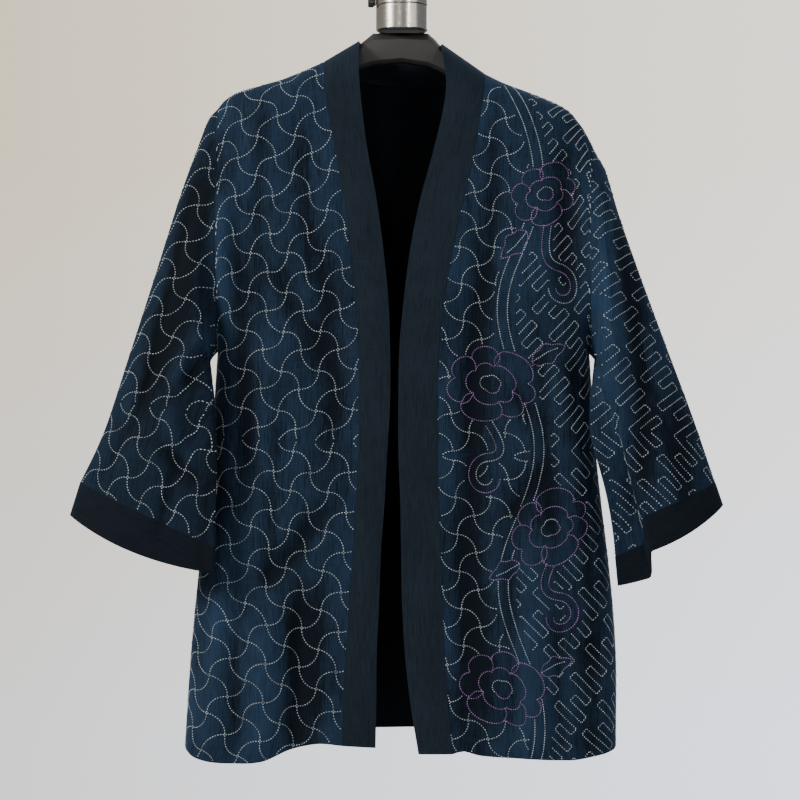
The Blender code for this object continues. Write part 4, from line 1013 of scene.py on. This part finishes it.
steel = fine_finish("brushed_steel", (0.50, 0.46, 0.40), 0.24, (60.0, 60.0, 2600.0), 0.18, 1.0, 1.12)
core_plastic = fine_finish("dark_core_plastic", (0.022, 0.024, 0.024), 0.34, (700.0, 700.0, 700.0), 0.15, 0.0, 1.4)
upper = turned_piece("tube_upper_steel", [(0, 0), (TUBE_RADIUS - 0.0012, 0), (TUBE_RADIUS - 0.0004, -0.0003), (TUBE_RADIUS, -0.0011), (TUBE_RADIUS, JOINT_Z + 0.0005), (TUBE_RADIUS - 0.0005, JOINT_Z), (TUBE_INSIDE, JOINT_Z), (TUBE_INSIDE, -0.0030), (0, -0.0030)], steel)
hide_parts("tube_upper")
lower = turned_piece("tube_lower_steel", [(TUBE_RADIUS - 0.0010, JOINT_Z - 0.0003), (TUBE_RADIUS - 0.0003, JOINT_Z - 0.0010), (TUBE_RADIUS - 0.0003, TUBE_END_Z + 0.0006), (TUBE_RADIUS - 0.0008, TUBE_END_Z), (TUBE_INSIDE, TUBE_END_Z), (TUBE_INSIDE, JOINT_Z - 0.0003), (TUBE_RADIUS - 0.0010, JOINT_Z - 0.0003)], steel)
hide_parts("tube_lower")
core = turned_piece("tube_core_moulding", [(0, -0.0033), (TUBE_INSIDE - 0.0004, -0.0033), (TUBE_INSIDE - 0.0004, CORE_END_Z + 0.0009), (TUBE_INSIDE - 0.0009, CORE_END_Z + 0.0002), (TUBE_INSIDE - 0.0018, CORE_END_Z), (TUBE_INSIDE - 0.0030, CORE_END_Z + 0.0004), (TUBE_INSIDE - 0.0036, CORE_END_Z + 0.0012), (0, CORE_END_Z + 0.0014)], core_plastic)
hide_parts("tube_core")
knob = turned_piece("clamp_knob_turned", [(0, 0), (0.0038, 0), (0.0038, 0.0016), (0.0050, 0.0022), (0.0055, 0.0030), (0.0055, 0.0042), (0.0051, 0.0047), (0.0055, 0.0052), (0.0055, 0.0064), (0.0051, 0.0069), (0.0055, 0.0074), (0.0050, 0.0081), (0.0040, 0.0085), (0, 0.0085)], core_plastic, 40, "X", (-TUBE_RADIUS - 0.0002, 0, KNOB_Z))
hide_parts("clamp_knob")

# ---------------------------------------------------- the studio and the camera
# A pale floor well below the hem, soft lamps, and a pale room that lights the
# scene dimly. The backdrop the camera sees is painted with light and shade: warm
# and dimmer on the left as painted shade, cool and brighter on the right as
# painted light. The camera stands level with the armpits.
world = bpy.data.worlds.new("pale_room")
world.use_nodes = True
bpy.context.scene.world = world
tree = world.node_tree
way = wire(tree, "ShaderNodeSeparateXYZ", {0: wire(tree, "ShaderNodeTexCoord").outputs["Generated"]})
# The backdrop the camera sees: painted shade, dim and warm, on the left; painted light, bright and cool, on the right.
above = mix(tree, ramp(tree, way.outputs[0], -0.16, 0.16), (1.16, 1.00, 0.76, 1), (1.66, 1.56, 1.40, 1))
below = mix(tree, ramp(tree, way.outputs[0], -0.16, 0.16), (1.22, 1.22, 1.22, 1), (1.70, 1.80, 2.05, 1))
painted_backdrop = mix(tree, ramp(tree, way.outputs[2], -0.14, 0.10), below, above)
lit = mix(tree, ramp(tree, way.outputs[0], -0.6, 0.6), (0.34, 0.33, 0.31, 1), (0.26, 0.28, 0.31, 1))
pale = mix(tree, wire(tree, "ShaderNodeLightPath").outputs["Is Camera Ray"], lit, painted_backdrop)
tree.links.new(pale, tree.nodes["Background"].inputs["Color"])

bpy.ops.mesh.primitive_circle_add(vertices=96, radius=1.5, fill_type="NGON", location=(0, 0, -1.35))
floor = bpy.context.active_object
floor.name = "floor"
floor_material = bpy.data.materials.new("pale_floor")
floor_material.use_nodes = True
floor_material.node_tree.nodes["Principled BSDF"].inputs["Base Color"].default_value = (0.72, 0.71, 0.70, 1)
floor_material.node_tree.nodes["Principled BSDF"].inputs["Roughness"].default_value = 0.9
floor.data.materials.append(floor_material)

# Each lamp: its name, its place, its width in metres and its power in watts.
LAMPS = [
    ("key", (-2.0, -1.35, 0.8), 0.8, 58.0),
    ("fill", (2.0, -1.8, 0.1), 1.6, 12.0),
    ("strip", (-0.35, -1.5, 0.5), 0.16, 3.0),
    ("glow", (0.75, -1.3, 0.3), 0.14, 3.0),
    ("rear", (0.6, 2.4, 0.7), 1.8, 26.0),
]
for name, place, size, power in LAMPS:
    lamp = bpy.data.lights.new(name, "AREA")
    lamp.size, lamp.energy = size, power
    holder = bpy.data.objects.new(name, lamp)
    bpy.context.scene.collection.objects.link(holder)
    holder.location = place
    holder.rotation_euler = (Vector((0, 0, -0.45)) - Vector(place)).to_track_quat("-Z", "Y").to_euler()

camera = bpy.data.objects.new("camera", bpy.data.cameras.new("camera"))
bpy.context.scene.collection.objects.link(camera)
camera.location = (-0.0022, -2.65, -0.473)
camera.rotation_euler = (math.radians(90), 0, 0)
camera.data.lens = 36 * 2.63 / 0.88
bpy.context.scene.camera = camera
